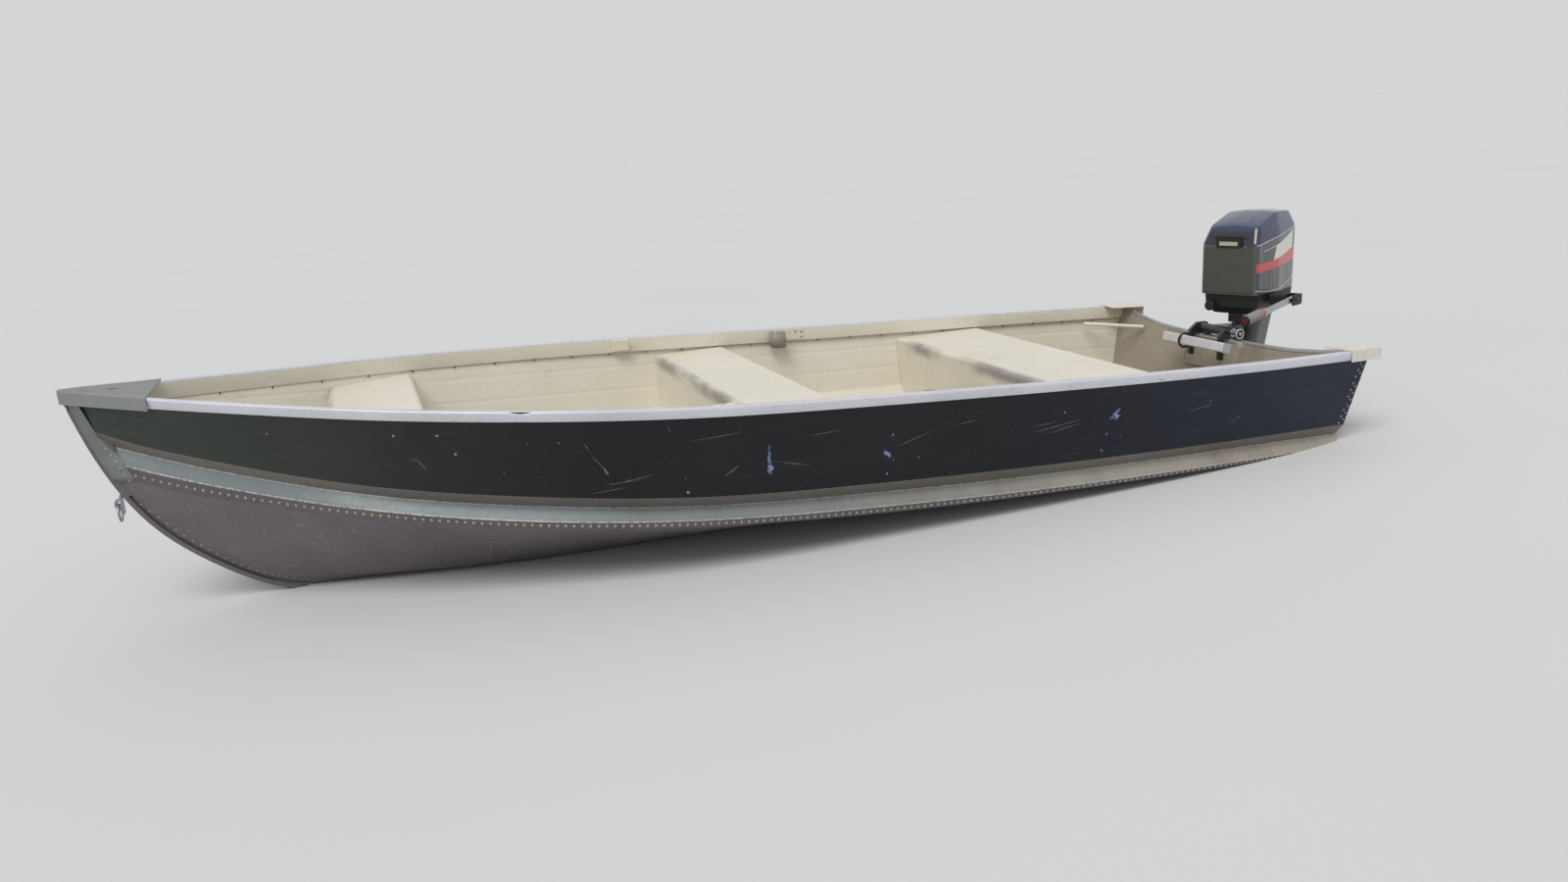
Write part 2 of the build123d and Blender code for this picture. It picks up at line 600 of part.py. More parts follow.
def build_clamp():
    place = motor_place(False)
    lean = math.cos(math.radians(TRANSOM_RAKE))

    def aft_of_pad(z):
        """Just behind the outer pad, in the motor's frame."""
        return transom_x(TILT_Z + z) - TILT_X - (OUTER_PAD + 2 * LAP) / lean

    seat = TRANSOM_DIP_Z - TILT_Z + 2
    corners = [
        (-26, 23, 16), (22, 23, 14), (HOOK_REACH, -6, 16), (HOOK_REACH, HOOK_DROP, 6),
        (HOOK_REACH - HOOK_ARM, HOOK_DROP, 6), (HOOK_REACH - HOOK_ARM, -30, 14), (24, seat, 4),
        (aft_of_pad(seat), seat, 3), (aft_of_pad(BRACKET_BOTTOM), BRACKET_BOTTOM, 3),
        (-10, BRACKET_BOTTOM - 6, 8), (-58, -96, 40), (-46, -10, 20),
    ]
    outline = side_face([corner[:2] for corner in corners], [corner[2] for corner in corners])
    arm = both_ways(outline, BRACKET_THICK)
    window_face = side_face(CLAMP_WINDOW, [WINDOW_ROUND] * len(CLAMP_WINDOW))
    window = both_ways(window_face, 2 * BRACKET_THICK)
    tube_bore = rod((0, -200, 0), (0, 200, 0), TILT_TUBE + TUBE_PLAY)
    end = BRACKET_Y + BRACKET_THICK + 8
    tube = rod((0, -end, 0), (0, end, 0), TILT_TUBE)
    for sign in (-1, 1):
        tube += rod((0, sign * (end - 7), 0), (0, sign * end, 0), TILT_TUBE + 10)
    pieces["tilt_tube"] = place * tube

    rake = math.radians(TRANSOM_RAKE)
    along = Vector(math.cos(rake), 0, math.sin(rake))
    to_pad = TRANSOM_SHEET + INNER_PAD - PAD_DISH + 3 * LAP
    pad_face = transom_x(TILT_Z + SCREW_Z) - TILT_X + to_pad / lean
    for side, sign in (("port", 1), ("starboard", -1)):
        y = sign * (BRACKET_Y + BRACKET_THICK / 2)
        line = Plane(origin=(pad_face, y, SCREW_Z), z_dir=along)
        foot = extrude(line * Circle(SCREW_PAD / 2), SCREW_PAD_THICK)
        shank = extrude(line * Circle(SCREW_DIAMETER / 2), SCREW_LENGTH)
        pieces["clamp_screw_" + side] = place * (foot + shank)
        boss_at = Vector(pad_face, y, SCREW_Z) + along * (HOOK_REACH - HOOK_ARM - pad_face) / math.cos(rake)
        boss = extrude(Plane(origin=boss_at, z_dir=along) * Circle(SCREW_DIAMETER), HOOK_ARM + 4)
        bore = extrude(line * Circle((SCREW_DIAMETER + TUBE_PLAY) / 2), 200)
        bracket = Pos(0, y, 0) * (arm - window) + boss - tube_bore - bore
        pieces["clamp_bracket_" + side] = place * bracket
    size, wall = LOCK_BAR_SIZE, LOCK_BAR_WALL
    centre = Vector(pad_face, 0, SCREW_Z) + along * LOCK_BAR_OUT
    bar = box(-size / 2, size / 2, -LOCK_BAR_HALF, LOCK_BAR_HALF, -size / 2, size / 2)
    bar = fillet(bar.edges().filter_by(Axis.Y).group_by(Axis.X)[-1], LOCK_BAR_ROUND)
    hollow = box(-size / 2 - 1, size / 2 - wall, -LOCK_BAR_HALF + wall, LOCK_BAR_HALF - wall,
                 -size / 2 + wall, size / 2 - wall)
    pieces["lock_bar"] = place * Pos(*centre) * Rot(0, -TRANSOM_RAKE, 0) * (bar - hollow)


def build_swivel():
    place = motor_place(False)
    height = SWIVEL_TOP - SWIVEL_BOTTOM
    tube = Pos(-STEER_BACK, 0, SWIVEL_BOTTOM + height / 2) * Cylinder(SWIVEL_TUBE / 2, height)
    half, narrow = SWIVEL_WEB_HALF, SWIVEL_TUBE / 2
    corners = [(-STEER_BACK, -narrow), (0, -half), (0, half), (-STEER_BACK, narrow)]
    plan = make_face(Polyline(*corners, close=True))
    web = extrude(Pos(0, 0, -SWIVEL_WEB_THICK / 2) * plan, SWIVEL_WEB_THICK)
    rib = both_ways(make_face(Polyline((-STEER_BACK, -12), (-36, -12), (-STEER_BACK + 22, -150),
                                       (-STEER_BACK, -190), close=True)), SWIVEL_RIB)
    boss = rod((0, -BRACKET_Y + 1, 0), (0, BRACKET_Y - 1, 0), BOSS_DIAMETER)
    body = tube + web + rib + boss - rod((0, -200, 0), (0, 200, 0), TILT_TUBE + TUBE_PLAY)
    bore = Pos(-STEER_BACK, 0, -100) * Cylinder((STEER_PIN + TUBE_PLAY) / 2 + 0.7, 600)
    pieces["swivel_bracket"] = place * (body - bore)


def blade():
    """One blade about the X axis: lens sections, wrapped on cylinders, through which fair lines run."""
    sections = []
    for radius, chord, pitch, sweep in BLADE:
        thick = BLADE_THICK * (1 - 0.75 * radius / PROP_RADIUS)
        section = []
        for share, side in ((-0.5, 0), (-0.2, 1), (0.2, 1), (0.5, 0), (0.2, -0.4), (-0.2, -0.4)):
            along, off = share * chord, side * thick
            tilt = math.radians(pitch)
            axial = along * math.sin(tilt) + off * math.cos(tilt)
            around = (along * math.cos(tilt) - off * math.sin(tilt) - sweep) / max(radius, 60)
            section.append(Vector(axial, radius * math.sin(around), radius * math.cos(around)))
        sections.append(section)
    return fair_body(sections, [row[0] for row in BLADE])


def build_leg(place, axis_x):
    leg_x = axis_x - LEG_BACK
    plate_z = KEEL_Z - PLATE_BELOW_KEEL - TILT_Z
    shaft_z = plate_z - PROP_BELOW_PLATE
    pin_height = SWIVEL_TOP - SWIVEL_BOTTOM + 60
    pin = Pos(axis_x, 0, (SWIVEL_TOP + SWIVEL_BOTTOM) / 2) * Cylinder(STEER_PIN / 2, pin_height)
    top_yoke = box(leg_x - 50, axis_x + YOKE_AHEAD, -YOKE_HALF, YOKE_HALF, SWIVEL_TOP + 6, COWL_BOTTOM - 1)
    top_yoke = fillet(top_yoke.edges().filter_by(Axis.Z), 12)
    low_yoke = box(leg_x, axis_x + 26, -LOW_YOKE_HALF, LOW_YOKE_HALF, SWIVEL_BOTTOM - 34, SWIVEL_BOTTOM - 6)
    low_yoke = fillet(low_yoke.edges().filter_by(Axis.Z), 10)
    pieces["steering_yoke"] = place * (pin + top_yoke + low_yoke)

    def leg_face(z, size, shift):
        length, width = size
        return Plane(origin=(leg_x - shift, 0, z)) * RectangleRounded(length, width, width * 0.45)
    leg = loft([leg_face(COWL_BOTTOM - 1, LEG_TOP, 20), leg_face(LEG_MIDDLE_Z, LEG_MIDDLE, 6)], ruled=True)
    leg += loft([leg_face(LEG_MIDDLE_Z, LEG_MIDDLE, 6), leg_face(plate_z, LEG_FOOT, 10)], ruled=True)
    leg -= box(axis_x - YOKE_AHEAD, axis_x + 200, -200, 200, -800, 40)
    pieces["driveshaft_housing"] = place * (leg - pin - top_yoke - low_yoke)

    under_plate = Plane(origin=(leg_x - 75, 0, plate_z - 1 - PLATE_THICK))
    plate = extrude(under_plate * Ellipse(*PLATE_HALF), PLATE_THICK)
    strut = loft([Plane(origin=(leg_x - 10, 0, plate_z - 2)) * Ellipse(84, 27),
                  Plane(origin=(leg_x - 14, 0, shaft_z)) * Ellipse(80, 24)], ruled=True)
    nose, tail, radius = leg_x + TORPEDO_AHEAD, leg_x - TORPEDO_BACK, TORPEDO_RADIUS
    crown = Spline((nose, shaft_z), (nose - 18, shaft_z + 0.55 * radius), (nose - 75, shaft_z + radius),
                   (tail, shaft_z + 0.82 * radius), tangents=[(0, 1), (-1, -0.12)])
    rest = Polyline((tail, shaft_z + 0.82 * radius), (tail, shaft_z), (nose, shaft_z))
    torpedo = revolve(Plane.XZ * make_face([crown, rest]), Axis((leg_x, 0, shaft_z), (1, 0, 0)))
    skeg_foot = shaft_z - SKEG_BELOW_SHAFT
    skeg_face = side_face([(leg_x + 62, shaft_z - 20), (leg_x - 70, shaft_z - 20), (leg_x - 98, skeg_foot),
                           (leg_x - 24, skeg_foot)], [2, 2, 8, 30])
    case = plate + strut + torpedo + both_ways(skeg_face, SKEG_THICK)
    pieces["gearcase"] = place * (case - box(-900, 900, -200, 200, plate_z - 0.7, 900))

    hub_x = tail - HUB_GAP - HUB_LENGTH / 2
    hub_back = hub_x - HUB_LENGTH / 2
    wheel = rod((hub_back, 0, shaft_z), (hub_x + HUB_LENGTH / 2, 0, shaft_z), 2 * HUB_RADIUS)
    wheel = fillet(wheel.edges().group_by(Axis.X)[0], 5)
    for k in range(BLADES):
        wheel += Pos(hub_x, 0, shaft_z) * Rot(360 / BLADES * k, 0, 0) * blade()
    wheel -= rod((hub_x - 200, 0, shaft_z), (hub_x + 200, 0, shaft_z), PROP_BORE)
    pieces["propeller"] = place * wheel
    shaft = rod((tail - 1, 0, shaft_z), (hub_back - 14, 0, shaft_z), PROP_BORE - TUBE_PLAY)
    pieces["propeller_shaft"] = place * shaft


def cowl_outline(front, ahead, side, rear):
    """Outline of the cowl seen from above, set in by its own distance ahead, at the sides and behind."""
    length = -COWL_PLAN[-1][0]
    along = (length - ahead - rear) / length
    widest = max(row[1] for row in COWL_PLAN)
    across = (widest - side) / widest
    half = [(front - ahead + x * along, width * across, radius * across) for x, width, radius in COWL_PLAN]
    corners = half + [(x, -width, radius) for x, width, radius in half[::-1]]
    radii = [corner[2] for corner in corners]
    return FilletPolyline(*[corner[:2] for corner in corners], radius=radii, close=True)


def hood_shape(front, wall):
    """The hood: upright sides, then a roof that leans in, under a crowned top; wall sets it all in."""
    foot = make_face(cowl_outline(front, wall, wall, wall))
    base = extrude(Pos(0, 0, COWL_SPLIT) * foot, COWL_SHOULDER - COWL_SPLIT)
    rise = COWL_TOP + 30 - COWL_SHOULDER
    lean_ahead, lean_side = ROOF_LEAN
    side_in = wall + rise * lean_side
    head = make_face(cowl_outline(front, wall + rise * lean_ahead, side_in, side_in))
    roof = loft([Pos(0, 0, COWL_SHOULDER) * foot, Pos(0, 0, COWL_SHOULDER + rise) * head], ruled=True)
    back = front + COWL_PLAN[-1][0]
    lip_x = front - (COWL_LIP - COWL_SHOULDER) * lean_ahead
    crown = Spline((front + 20, COWL_LIP - 24), (lip_x, COWL_LIP), (front - 230, COWL_TOP),
                   (back + 30, COWL_REAR_TOP),
                   (back - 20, COWL_REAR_TOP - 16))
    rest = Polyline((back - 20, COWL_REAR_TOP - 16), (back - 20, 0), (front + 20, 0),
                    (front + 20, COWL_LIP - 24))
    under = both_ways(make_face([crown, rest]), 600)
    return (base + roof) & (Pos(0, 0, -wall) * under)


def build_cowl(place, axis_x):
    front = axis_x + COWL_FRONT
    middle = front + COWL_PLAN[-1][0] / 2
    inner_pan = COWL_BOTTOM + PAN_FLOOR
    turned_in = PAN_INSET + 16
    pan = loft([Pos(0, 0, COWL_BOTTOM) * make_face(cowl_outline(front, turned_in, turned_in, turned_in)),
                Pos(0, 0, COWL_BOTTOM + 30) * make_face(cowl_outline(front, PAN_INSET, 8, 8)),
                Pos(0, 0, COWL_SPLIT - LAP) * make_face(cowl_outline(front, PAN_INSET, 2, 2))], ruled=True)
    hollow = extrude(Pos(0, 0, inner_pan + 30) * make_face(cowl_outline(front, PAN_INSET + 6, 14, 14)), 400)
    pieces["lower_cowl"] = place * (pan - hollow)

    hood = hood_shape(front, 0) - hood_shape(front, COWL_WALL)
    panel = box(front - 1, front + PANEL_THICK, -PANEL_HALF, PANEL_HALF, COWL_SPLIT + PANEL_GAP,
                COWL_SHOULDER - PANEL_GAP)
    panel = fillet(panel.edges().filter_by(Axis.X), 8)
    pocket = box(front - PULL_DEPTH, front + 60, -PULL_HALF - 6, PULL_HALF + 6,
                 PULL_Z - PULL_HEIGHT / 2 - 5, PULL_Z + PULL_HEIGHT / 2 + 5)
    lining = box(front - PULL_DEPTH - 3, front - 1, -PULL_HALF - 9, PULL_HALF + 9,
                 PULL_Z - PULL_HEIGHT / 2 - 8, PULL_Z + PULL_HEIGHT / 2 + 8)
    lining &= hood_shape(front, 0)
    pieces["upper_cowl"] = place * (hood + panel + lining - pocket)
    block_top = COWL_SHOULDER + 16
    pieces["powerhead"] = place * box(middle - 130, middle + 120, -85, 85, inner_pan + 31, block_top)

    grip = box(front - PULL_DEPTH + 9, front + 6, -PULL_HALF, PULL_HALF, PULL_Z - PULL_HEIGHT / 2,
               PULL_Z + PULL_HEIGHT / 2)
    stalk = rod((front - PULL_DEPTH + LAP, 0, PULL_Z), (front - PULL_DEPTH + 10, 0, PULL_Z), 14)
    pieces["recoil_handle"] = place * (fillet(grip.edges().filter_by(Axis.X), 6) + stalk)
    face_x = front - PAN_INSET
    knob = rod((face_x + LAP, KNOB_Y, KNOB_Z), (face_x + 24, KNOB_Y, KNOB_Z), KNOB_DIAMETER)
    pieces["choke_knob"] = place * fillet(knob.edges().group_by(Axis.X)[-1], 4)


def build_tiller(place, axis_x):
    x0 = axis_x + TILLER_BASE_X
    wall_y = COWL_PLAN[1][1] + 1
    slot = ARM_DIAMETER / 2 + 1.5
    ear_y = TILLER_Y + slot + EAR_THICKNESS
    bracket = box(x0 - 52, x0 + 26, wall_y, ear_y, TILLER_Z - 22, TILLER_Z + 22)
    bracket = fillet(bracket.edges().filter_by(Axis.Y), 10)
    bracket -= box(x0 - 30, x0 + 30, TILLER_Y - slot, TILLER_Y + slot, TILLER_Z - 30, TILLER_Z + 30)
    bracket += rod((x0, wall_y + LAP, TILLER_Z), (x0, ear_y + 3, TILLER_Z), ARM_PIN)
    pieces["tiller_bracket"] = place * bracket
    hinge = place * Pos(x0, TILLER_Y, TILLER_Z) * Rot(0, TILLER_DOWN, 0)
    arm_end = TILLER_LENGTH - GRIP_LENGTH
    arm = rod((ARM_HEEL, 0, 0), (arm_end, 0, 0), ARM_DIAMETER)
    arm += rod((arm_end - COLLAR_LENGTH, 0, 0), (arm_end, 0, 0), GRIP_DIAMETER - 4)
    arm -= rod((0, -ARM_DIAMETER, 0), (0, ARM_DIAMETER, 0), ARM_PIN + 0.6)
    pieces["tiller_arm"] = hinge * arm
    step = (GRIP_LENGTH - 22) / GRIP_RIBS
    high, low = GRIP_DIAMETER / 2, GRIP_DIAMETER / 2 - 2
    corners = [(arm_end + LAP, 0), (arm_end + LAP, low)]
    for k in range(GRIP_RIBS):
        near = arm_end + 8 + k * step
        corners += [(near, low), (near + 3, high), (near + step - 4, high)]
    corners += [(TILLER_LENGTH - 3, high), (TILLER_LENGTH, high - 4), (TILLER_LENGTH, 0)]
    pieces["tiller_grip"] = hinge * revolve(Plane.XZ * make_face(Polyline(*corners, close=True)), Axis.X)


def build_motor():
    place = motor_place(True)
    axis_x = -STEER_BACK
    build_leg(place, axis_x)
    build_cowl(place, axis_x)
    build_tiller(place, axis_x)


build_hull()
build_transom()
build_keel()
build_benches()
build_frames()
build_bow()
build_corner_caps()
build_rowlocks()
build_drain_plug()
build_clamp()
build_swivel()
build_motor()

os.makedirs(OUT, exist_ok=True)
afloat = Rot(0, -TRIM, 0)
for name, shape in pieces.items():
    export_step(afloat * shape, os.path.join(OUT, name + ".step"))
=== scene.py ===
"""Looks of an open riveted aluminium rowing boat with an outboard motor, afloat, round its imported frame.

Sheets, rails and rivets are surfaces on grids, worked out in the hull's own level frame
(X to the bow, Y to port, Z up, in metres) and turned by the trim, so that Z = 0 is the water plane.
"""
import math

import bmesh
import bpy
import numpy as np
from mathutils import Matrix, Vector


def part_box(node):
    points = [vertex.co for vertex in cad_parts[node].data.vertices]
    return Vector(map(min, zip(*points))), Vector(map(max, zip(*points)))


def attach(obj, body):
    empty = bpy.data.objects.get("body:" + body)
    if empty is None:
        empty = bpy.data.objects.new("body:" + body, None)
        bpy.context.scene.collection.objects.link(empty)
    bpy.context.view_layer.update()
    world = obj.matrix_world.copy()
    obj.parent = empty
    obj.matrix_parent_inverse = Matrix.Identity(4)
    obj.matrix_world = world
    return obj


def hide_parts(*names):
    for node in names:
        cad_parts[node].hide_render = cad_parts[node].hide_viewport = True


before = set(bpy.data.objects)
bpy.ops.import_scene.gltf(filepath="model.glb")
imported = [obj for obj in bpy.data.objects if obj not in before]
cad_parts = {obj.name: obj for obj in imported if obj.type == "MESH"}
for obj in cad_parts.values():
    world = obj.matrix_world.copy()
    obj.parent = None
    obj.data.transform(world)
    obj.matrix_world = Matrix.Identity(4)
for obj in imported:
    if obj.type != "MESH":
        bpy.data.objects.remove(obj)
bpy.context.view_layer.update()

# Camera, from the photograph's lines: place in metres, angles in degrees, focal length in its pixels
CAMERA_PLACE = (1.2635, 3.9665, 1.3204)
CAMERA_YAW, CAMERA_PITCH, CAMERA_ROLL = 19.089, 15.118, -5.288
CAMERA_FOCAL, PHOTO_WIDTH, SENSOR = 1196.7, 1600.0, 36.0

# Hull sections from stern to bow, in millimetres, as the frame has them. Columns: x; gunwale y, z;
# paint line y, z; top of the spray rail's facet y, z; its outer edge y, z; foot of its flange z;
# strake y, z; keel y, z.
HULL = np.array([
    (-2150, 742, 411, 696, 128, 668, 84, 702, 52, 40, 350, -22, 0, -81),
    (-1400, 790, 440, 745, 158, 712, 119, 746, 78, 66, 372, -12, 0, -81),
    (-700, 785, 470, 733, 179, 700, 137, 737, 99, 82, 366, -3, 0, -81),
    (-100, 768, 500, 709, 205, 676, 165, 713, 129, 107, 340, 2, 0, -81),
    (450, 733, 531, 669, 241, 632, 202, 672, 168, 148, 290, -10, 0, -81),
    (950, 622, 565, 536, 290, 497, 250, 533, 212, 190, 215, -22, 0, -81),
    (1350, 469, 595, 385, 345, 345, 306, 372, 266, 240, 125, -14, 0, -76),
    (1650, 315, 620, 236, 404, 200, 366, 213, 320, 286, 62, 38, 0, -33),
    (1850, 208, 638, 142, 455, 105, 417, 120, 370, 330, 30, 140, 0, 90),
    (2000, 120, 652, 72, 500, 30, 461, 48, 414, 370, 12, 275, 0, 245),
    (2120, 50, 664, 12, 548, -22, 505, -8, 460, 415, -20, 385, -30, 350),
    (2180, 8, 669, -30, 570, -55, 530, -44, 490, 445, -50, 420, -60, 390),
], float) / 1000
GUNWALE, PAINT, FACET, EDGE, FOOT, STRAKE, KEEL = (1, 2), (3, 4), (5, 6), (7, 8), (7, 9), (10, 11), (12, 13)

# The hull's trim, bow up, the thickness of its sheets, and the gap that keeps neighbouring faces apart
TRIM = math.radians(2.0)
SHEET = 0.003
PLAY = 0.0003
# Top of the transom's aft face (x, z), its rake and its thickness, and where the skin's rows end ahead
TRANSOM_TOP = (-2.122, 0.412)
TRANSOM_RAKE = math.radians(14.0)
TRANSOM_SHEET = 0.004
STEM_END = 2.170

# Rail: its width over the sheet, its outer lip, its inner flange, its wall and its end at the bow
GUNWALE_WIDTH, GUNWALE_LIP, GUNWALE_FLANGE, GUNWALE_WALL = 0.028, 0.032, 0.057, 0.0026
GUNWALE_END = 2.138
# Dent in the port rail: its station, its half length and how far it is pressed in
DENT_X, DENT_LENGTH, DENT_DEPTH = 0.915, 0.024, 0.0045
# Both hands, with the sign that their Y has
HANDS = (("port", 1), ("starboard", -1))


def tone(red, green, blue):
    """Linear colour from display values of 0 to 255."""
    share = np.array((red, green, blue)) / 255
    linear = np.where(share <= 0.04045, share / 12.92, ((share + 0.055) / 1.055) ** 2.4)
    return (*[float(value) for value in linear], 1.0)


# Shader helpers. A colour is given as display values of 0 to 255, or as the output of a node.

class Output:
    """One output of a shader node. Sums, products and the like of outputs are Math nodes."""

    def __init__(self, tree, socket):
        self.tree = tree
        self.socket = socket

    def math(self, operation, other=0.0):
        """Output of a Math node of this output and another one or a number."""
        return node(self.tree, "Math", {0: self, 1: other}, operation=operation)

    def __add__(self, other):
        return self.math("ADD", other)

    def __sub__(self, other):
        return self.math("SUBTRACT", other)

    def __rsub__(self, first):
        return node(self.tree, "Math", {0: first, 1: self}, operation="SUBTRACT")

    def __mul__(self, other):
        return self.math("MULTIPLY", other)

    def __truediv__(self, other):
        return self.math("DIVIDE", other)

    def __abs__(self):
        return self.math("ABSOLUTE")

    def held(self):
        """The same output, held between 0 and 1 by its Math node."""
        self.socket.node.use_clamp = True
        return self


def feed(tree, sockets, inputs):
    """Gives sockets, by name or number, a value each or a link from another node's output."""
    for key, value in inputs.items():
        if isinstance(value, Output):
            tree.links.new(value.socket, sockets[key])
        else:
            sockets[key].default_value = value


def node(tree, kind, inputs=None, output=0, **settings):
    """One output of a new shader node."""
    made = tree.nodes.new("ShaderNode" + kind)
    for key, value in settings.items():
        setattr(made, key, value)
    feed(tree, made.inputs, inputs or {})
    return Output(tree, made.outputs[output])


def mixed(share, first, second):
    """Colour from first at share 0 to second at share 1."""
    first, second = [colour if isinstance(colour, Output) else tone(*colour) for colour in (first, second)]
    return node(share.tree, "Mix", {0: share, 6: first, 7: second}, 2, data_type="RGBA")


def between(value, low, high, out_low=0.0, out_high=1.0):
    """A value carried from one range to another, held at its ends."""
    return node(value.tree, "MapRange", {0: value, 1: low, 2: high, 3: out_low, 4: out_high})


def above(value, edge, soft=0.0007):
    """Share that rises from 0 to 1 as a value passes an edge."""
    return between(value - edge, -soft, soft)


def place(tree):
    """Object coordinates, which are the row frame's, because every piece has its origin there."""
    return node(tree, "TexCoord", output="Object")


def split(vector):
    """The x, y and z of a vector."""
    first = node(vector.tree, "SeparateXYZ", {0: vector})
    return [Output(vector.tree, socket) for socket in first.socket.node.outputs]


def noise(tree, scale, detail=3.0, stretch=(1, 1, 1), offset=(0, 0, 0), rough=0.5):
    """Noise on Object coordinates, drawn out along the axes whose stretch is small."""
    moved = node(tree, "Mapping", {"Vector": place(tree), "Location": offset, "Scale": stretch})
    inputs = {"Vector": moved, "Scale": scale, "Detail": detail, "Roughness": rough}
    return node(tree, "TexNoise", inputs)


def new_group(name, **inputs):
    """An empty node group with float inputs; returns it with those inputs by name."""
    group = bpy.data.node_groups.new(name, "ShaderNodeTree")
    for label, value in inputs.items():
        socket = group.interface.new_socket(name=label, in_out="INPUT", socket_type="NodeSocketFloat")
        socket.default_value = value
    sockets = group.nodes.new("NodeGroupInput").outputs
    return group, {label: Output(group, sockets[label]) for label in inputs}


def close_group(group, result):
    """Makes an output the group's own only one."""
    group.interface.new_socket(name="Share", in_out="OUTPUT", socket_type="NodeSocketFloat")
    feed(group, group.nodes.new("NodeGroupOutput").inputs, {0: result})
    return group


def use(tree, group, **inputs):
    """Output of a node group placed in a material with its own values."""
    return node(tree, "Group", inputs, node_tree=group)


def scratch_group():
    """Thin lines where a drawn-out noise passes its middle value, broken up by a coarser noise."""
    group, given = new_group("scratches", Scale=6.0, Width=0.01, Cover=0.5)
    lines = []
    for stretch, offset in (((1, 3, 9), (0, 0, 0)), ((2.2, 4, 5), (3, 1, 2))):
        away = abs(noise(group, given["Scale"], 2.0, stretch, offset) - 0.5)
        lines.append((1.0 - away / given["Width"]).held())
    patch = between(noise(group, 7.0, 4.0, (1, 1, 1.6)), given["Cover"], 0.75)
    return close_group(group, lines[0].math("MAXIMUM", lines[1]) * patch)


def mottle_group():
    """Cloudy variation about one half: a coarse noise plus a finer one."""
    group, given = new_group("mottle", Scale=5.0, Fine=40.0, Contrast=1.0)
    joined = noise(group, given["Scale"], 5.0) * 0.65 + noise(group, given["Fine"]) * 0.35
    return close_group(group, ((joined - 0.5) * given["Contrast"] + 0.5).held())


def edge_group():
    """Worn edges: where a rounded normal leaves the true one, broken up by a noise."""
    group, given = new_group("worn edges", Radius=0.003, Amount=1.0)
    soft = node(group, "Bevel", {"Radius": given["Radius"]}, samples=4)
    true = node(group, "NewGeometry", output="Normal")
    turn = node(group, "VectorMath", {0: soft, 1: true}, "Value", operation="DOT_PRODUCT")
    edges = between(1.0 - turn, 0.02, 0.2) * between(noise(group, 60.0, 4.0), 0.35, 0.6)
    return close_group(group, (edges * given["Amount"]).held())


def dirt_group():
    """Dirt that lies below a height, with a ragged upper limit."""
    group, given = new_group("settled dirt", Height=0.1, Fade=0.1, Ragged=0.1)
    wander = (noise(group, 9.0, 6.0) - 0.5) * given["Ragged"]
    below = given["Height"] - (split(place(group))[2] + wander)
    return close_group(group, (below / given["Fade"]).held())


SCRATCHES, MOTTLE, WORN, DIRT = scratch_group(), mottle_group(), edge_group(), dirt_group()


def new_material(name, colour, rough=0.5, metal=0.0, coat=0.0):
    """A material with its Principled shader; returns the material, its tree and the shader's inputs."""
    made = bpy.data.materials.new(name)
    made.use_nodes = True
    made.diffuse_color = tone(*colour)
    sockets = made.node_tree.nodes["Principled BSDF"].inputs
    feed(made.node_tree, sockets, {"Base Color": tone(*colour), "Roughness": rough, "Metallic": metal,
                                   "Coat Weight": coat})
    return made, made.node_tree, sockets


def bump(height, distance, strength=1.0):
    """Normal of a surface raised by a height."""
    return node(height.tree, "Bump", {"Height": height, "Distance": distance, "Strength": strength})


def painted(name, base, shade, rough=0.45, metal=0.0, wear=None, scratch=None, dirt=None, coat=0.0,
            fine=60.0, wear_radius=0.003):
    """Paint or plastic: a cloudy base, worn edges, scratches and settled dirt, and a fine relief.

    wear and scratch are (colour, amount or cover); dirt is (colour, height, fade, ragged)."""
    material, tree, sockets = new_material(name, base, rough, metal, coat)
    cloud = use(tree, MOTTLE, Scale=4.0, Fine=fine, Contrast=1.6)
    colour = mixed(cloud, shade, base)
    if dirt:
        dirt_colour, height, fade, ragged = dirt
        colour = mixed(use(tree, DIRT, Height=height, Fade=fade, Ragged=ragged), colour, dirt_colour)
    if scratch:
        scratch_colour, cover = scratch
        colour = mixed(use(tree, SCRATCHES, Scale=5.0, Width=0.006, Cover=cover), colour, scratch_colour)
    if wear:
        wear_colour, amount = wear
        colour = mixed(use(tree, WORN, Radius=wear_radius, Amount=amount), colour, wear_colour)
    feed(tree, sockets, {"Base Color": colour, "Normal": bump(cloud, 0.0004),
                         "Roughness": between(cloud, 0.2, 0.8, rough + 0.1, rough - 0.08)})
    return material


def bare_metal(name, base, shade, rough=0.4, metal=0.85, stretch=(1, 1, 1), relief=0.0003):
    """Bare metal with cloudy oxide and drawn-out rubbing marks."""
    material, tree, sockets = new_material(name, base, rough, metal)
    rubbed = noise(tree, 60.0, 4.0, stretch)
    colour = mixed(use(tree, MOTTLE, Scale=6.0, Fine=90.0, Contrast=1.5), shade, base)
    feed(tree, sockets, {"Base Color": colour, "Normal": bump(rubbed, relief),
                         "Roughness": between(rubbed, 0.3, 0.7, rough - 0.08, rough + 0.14)})
    return material


SILT = (128, 112, 84)
BARE = (150, 152, 155)

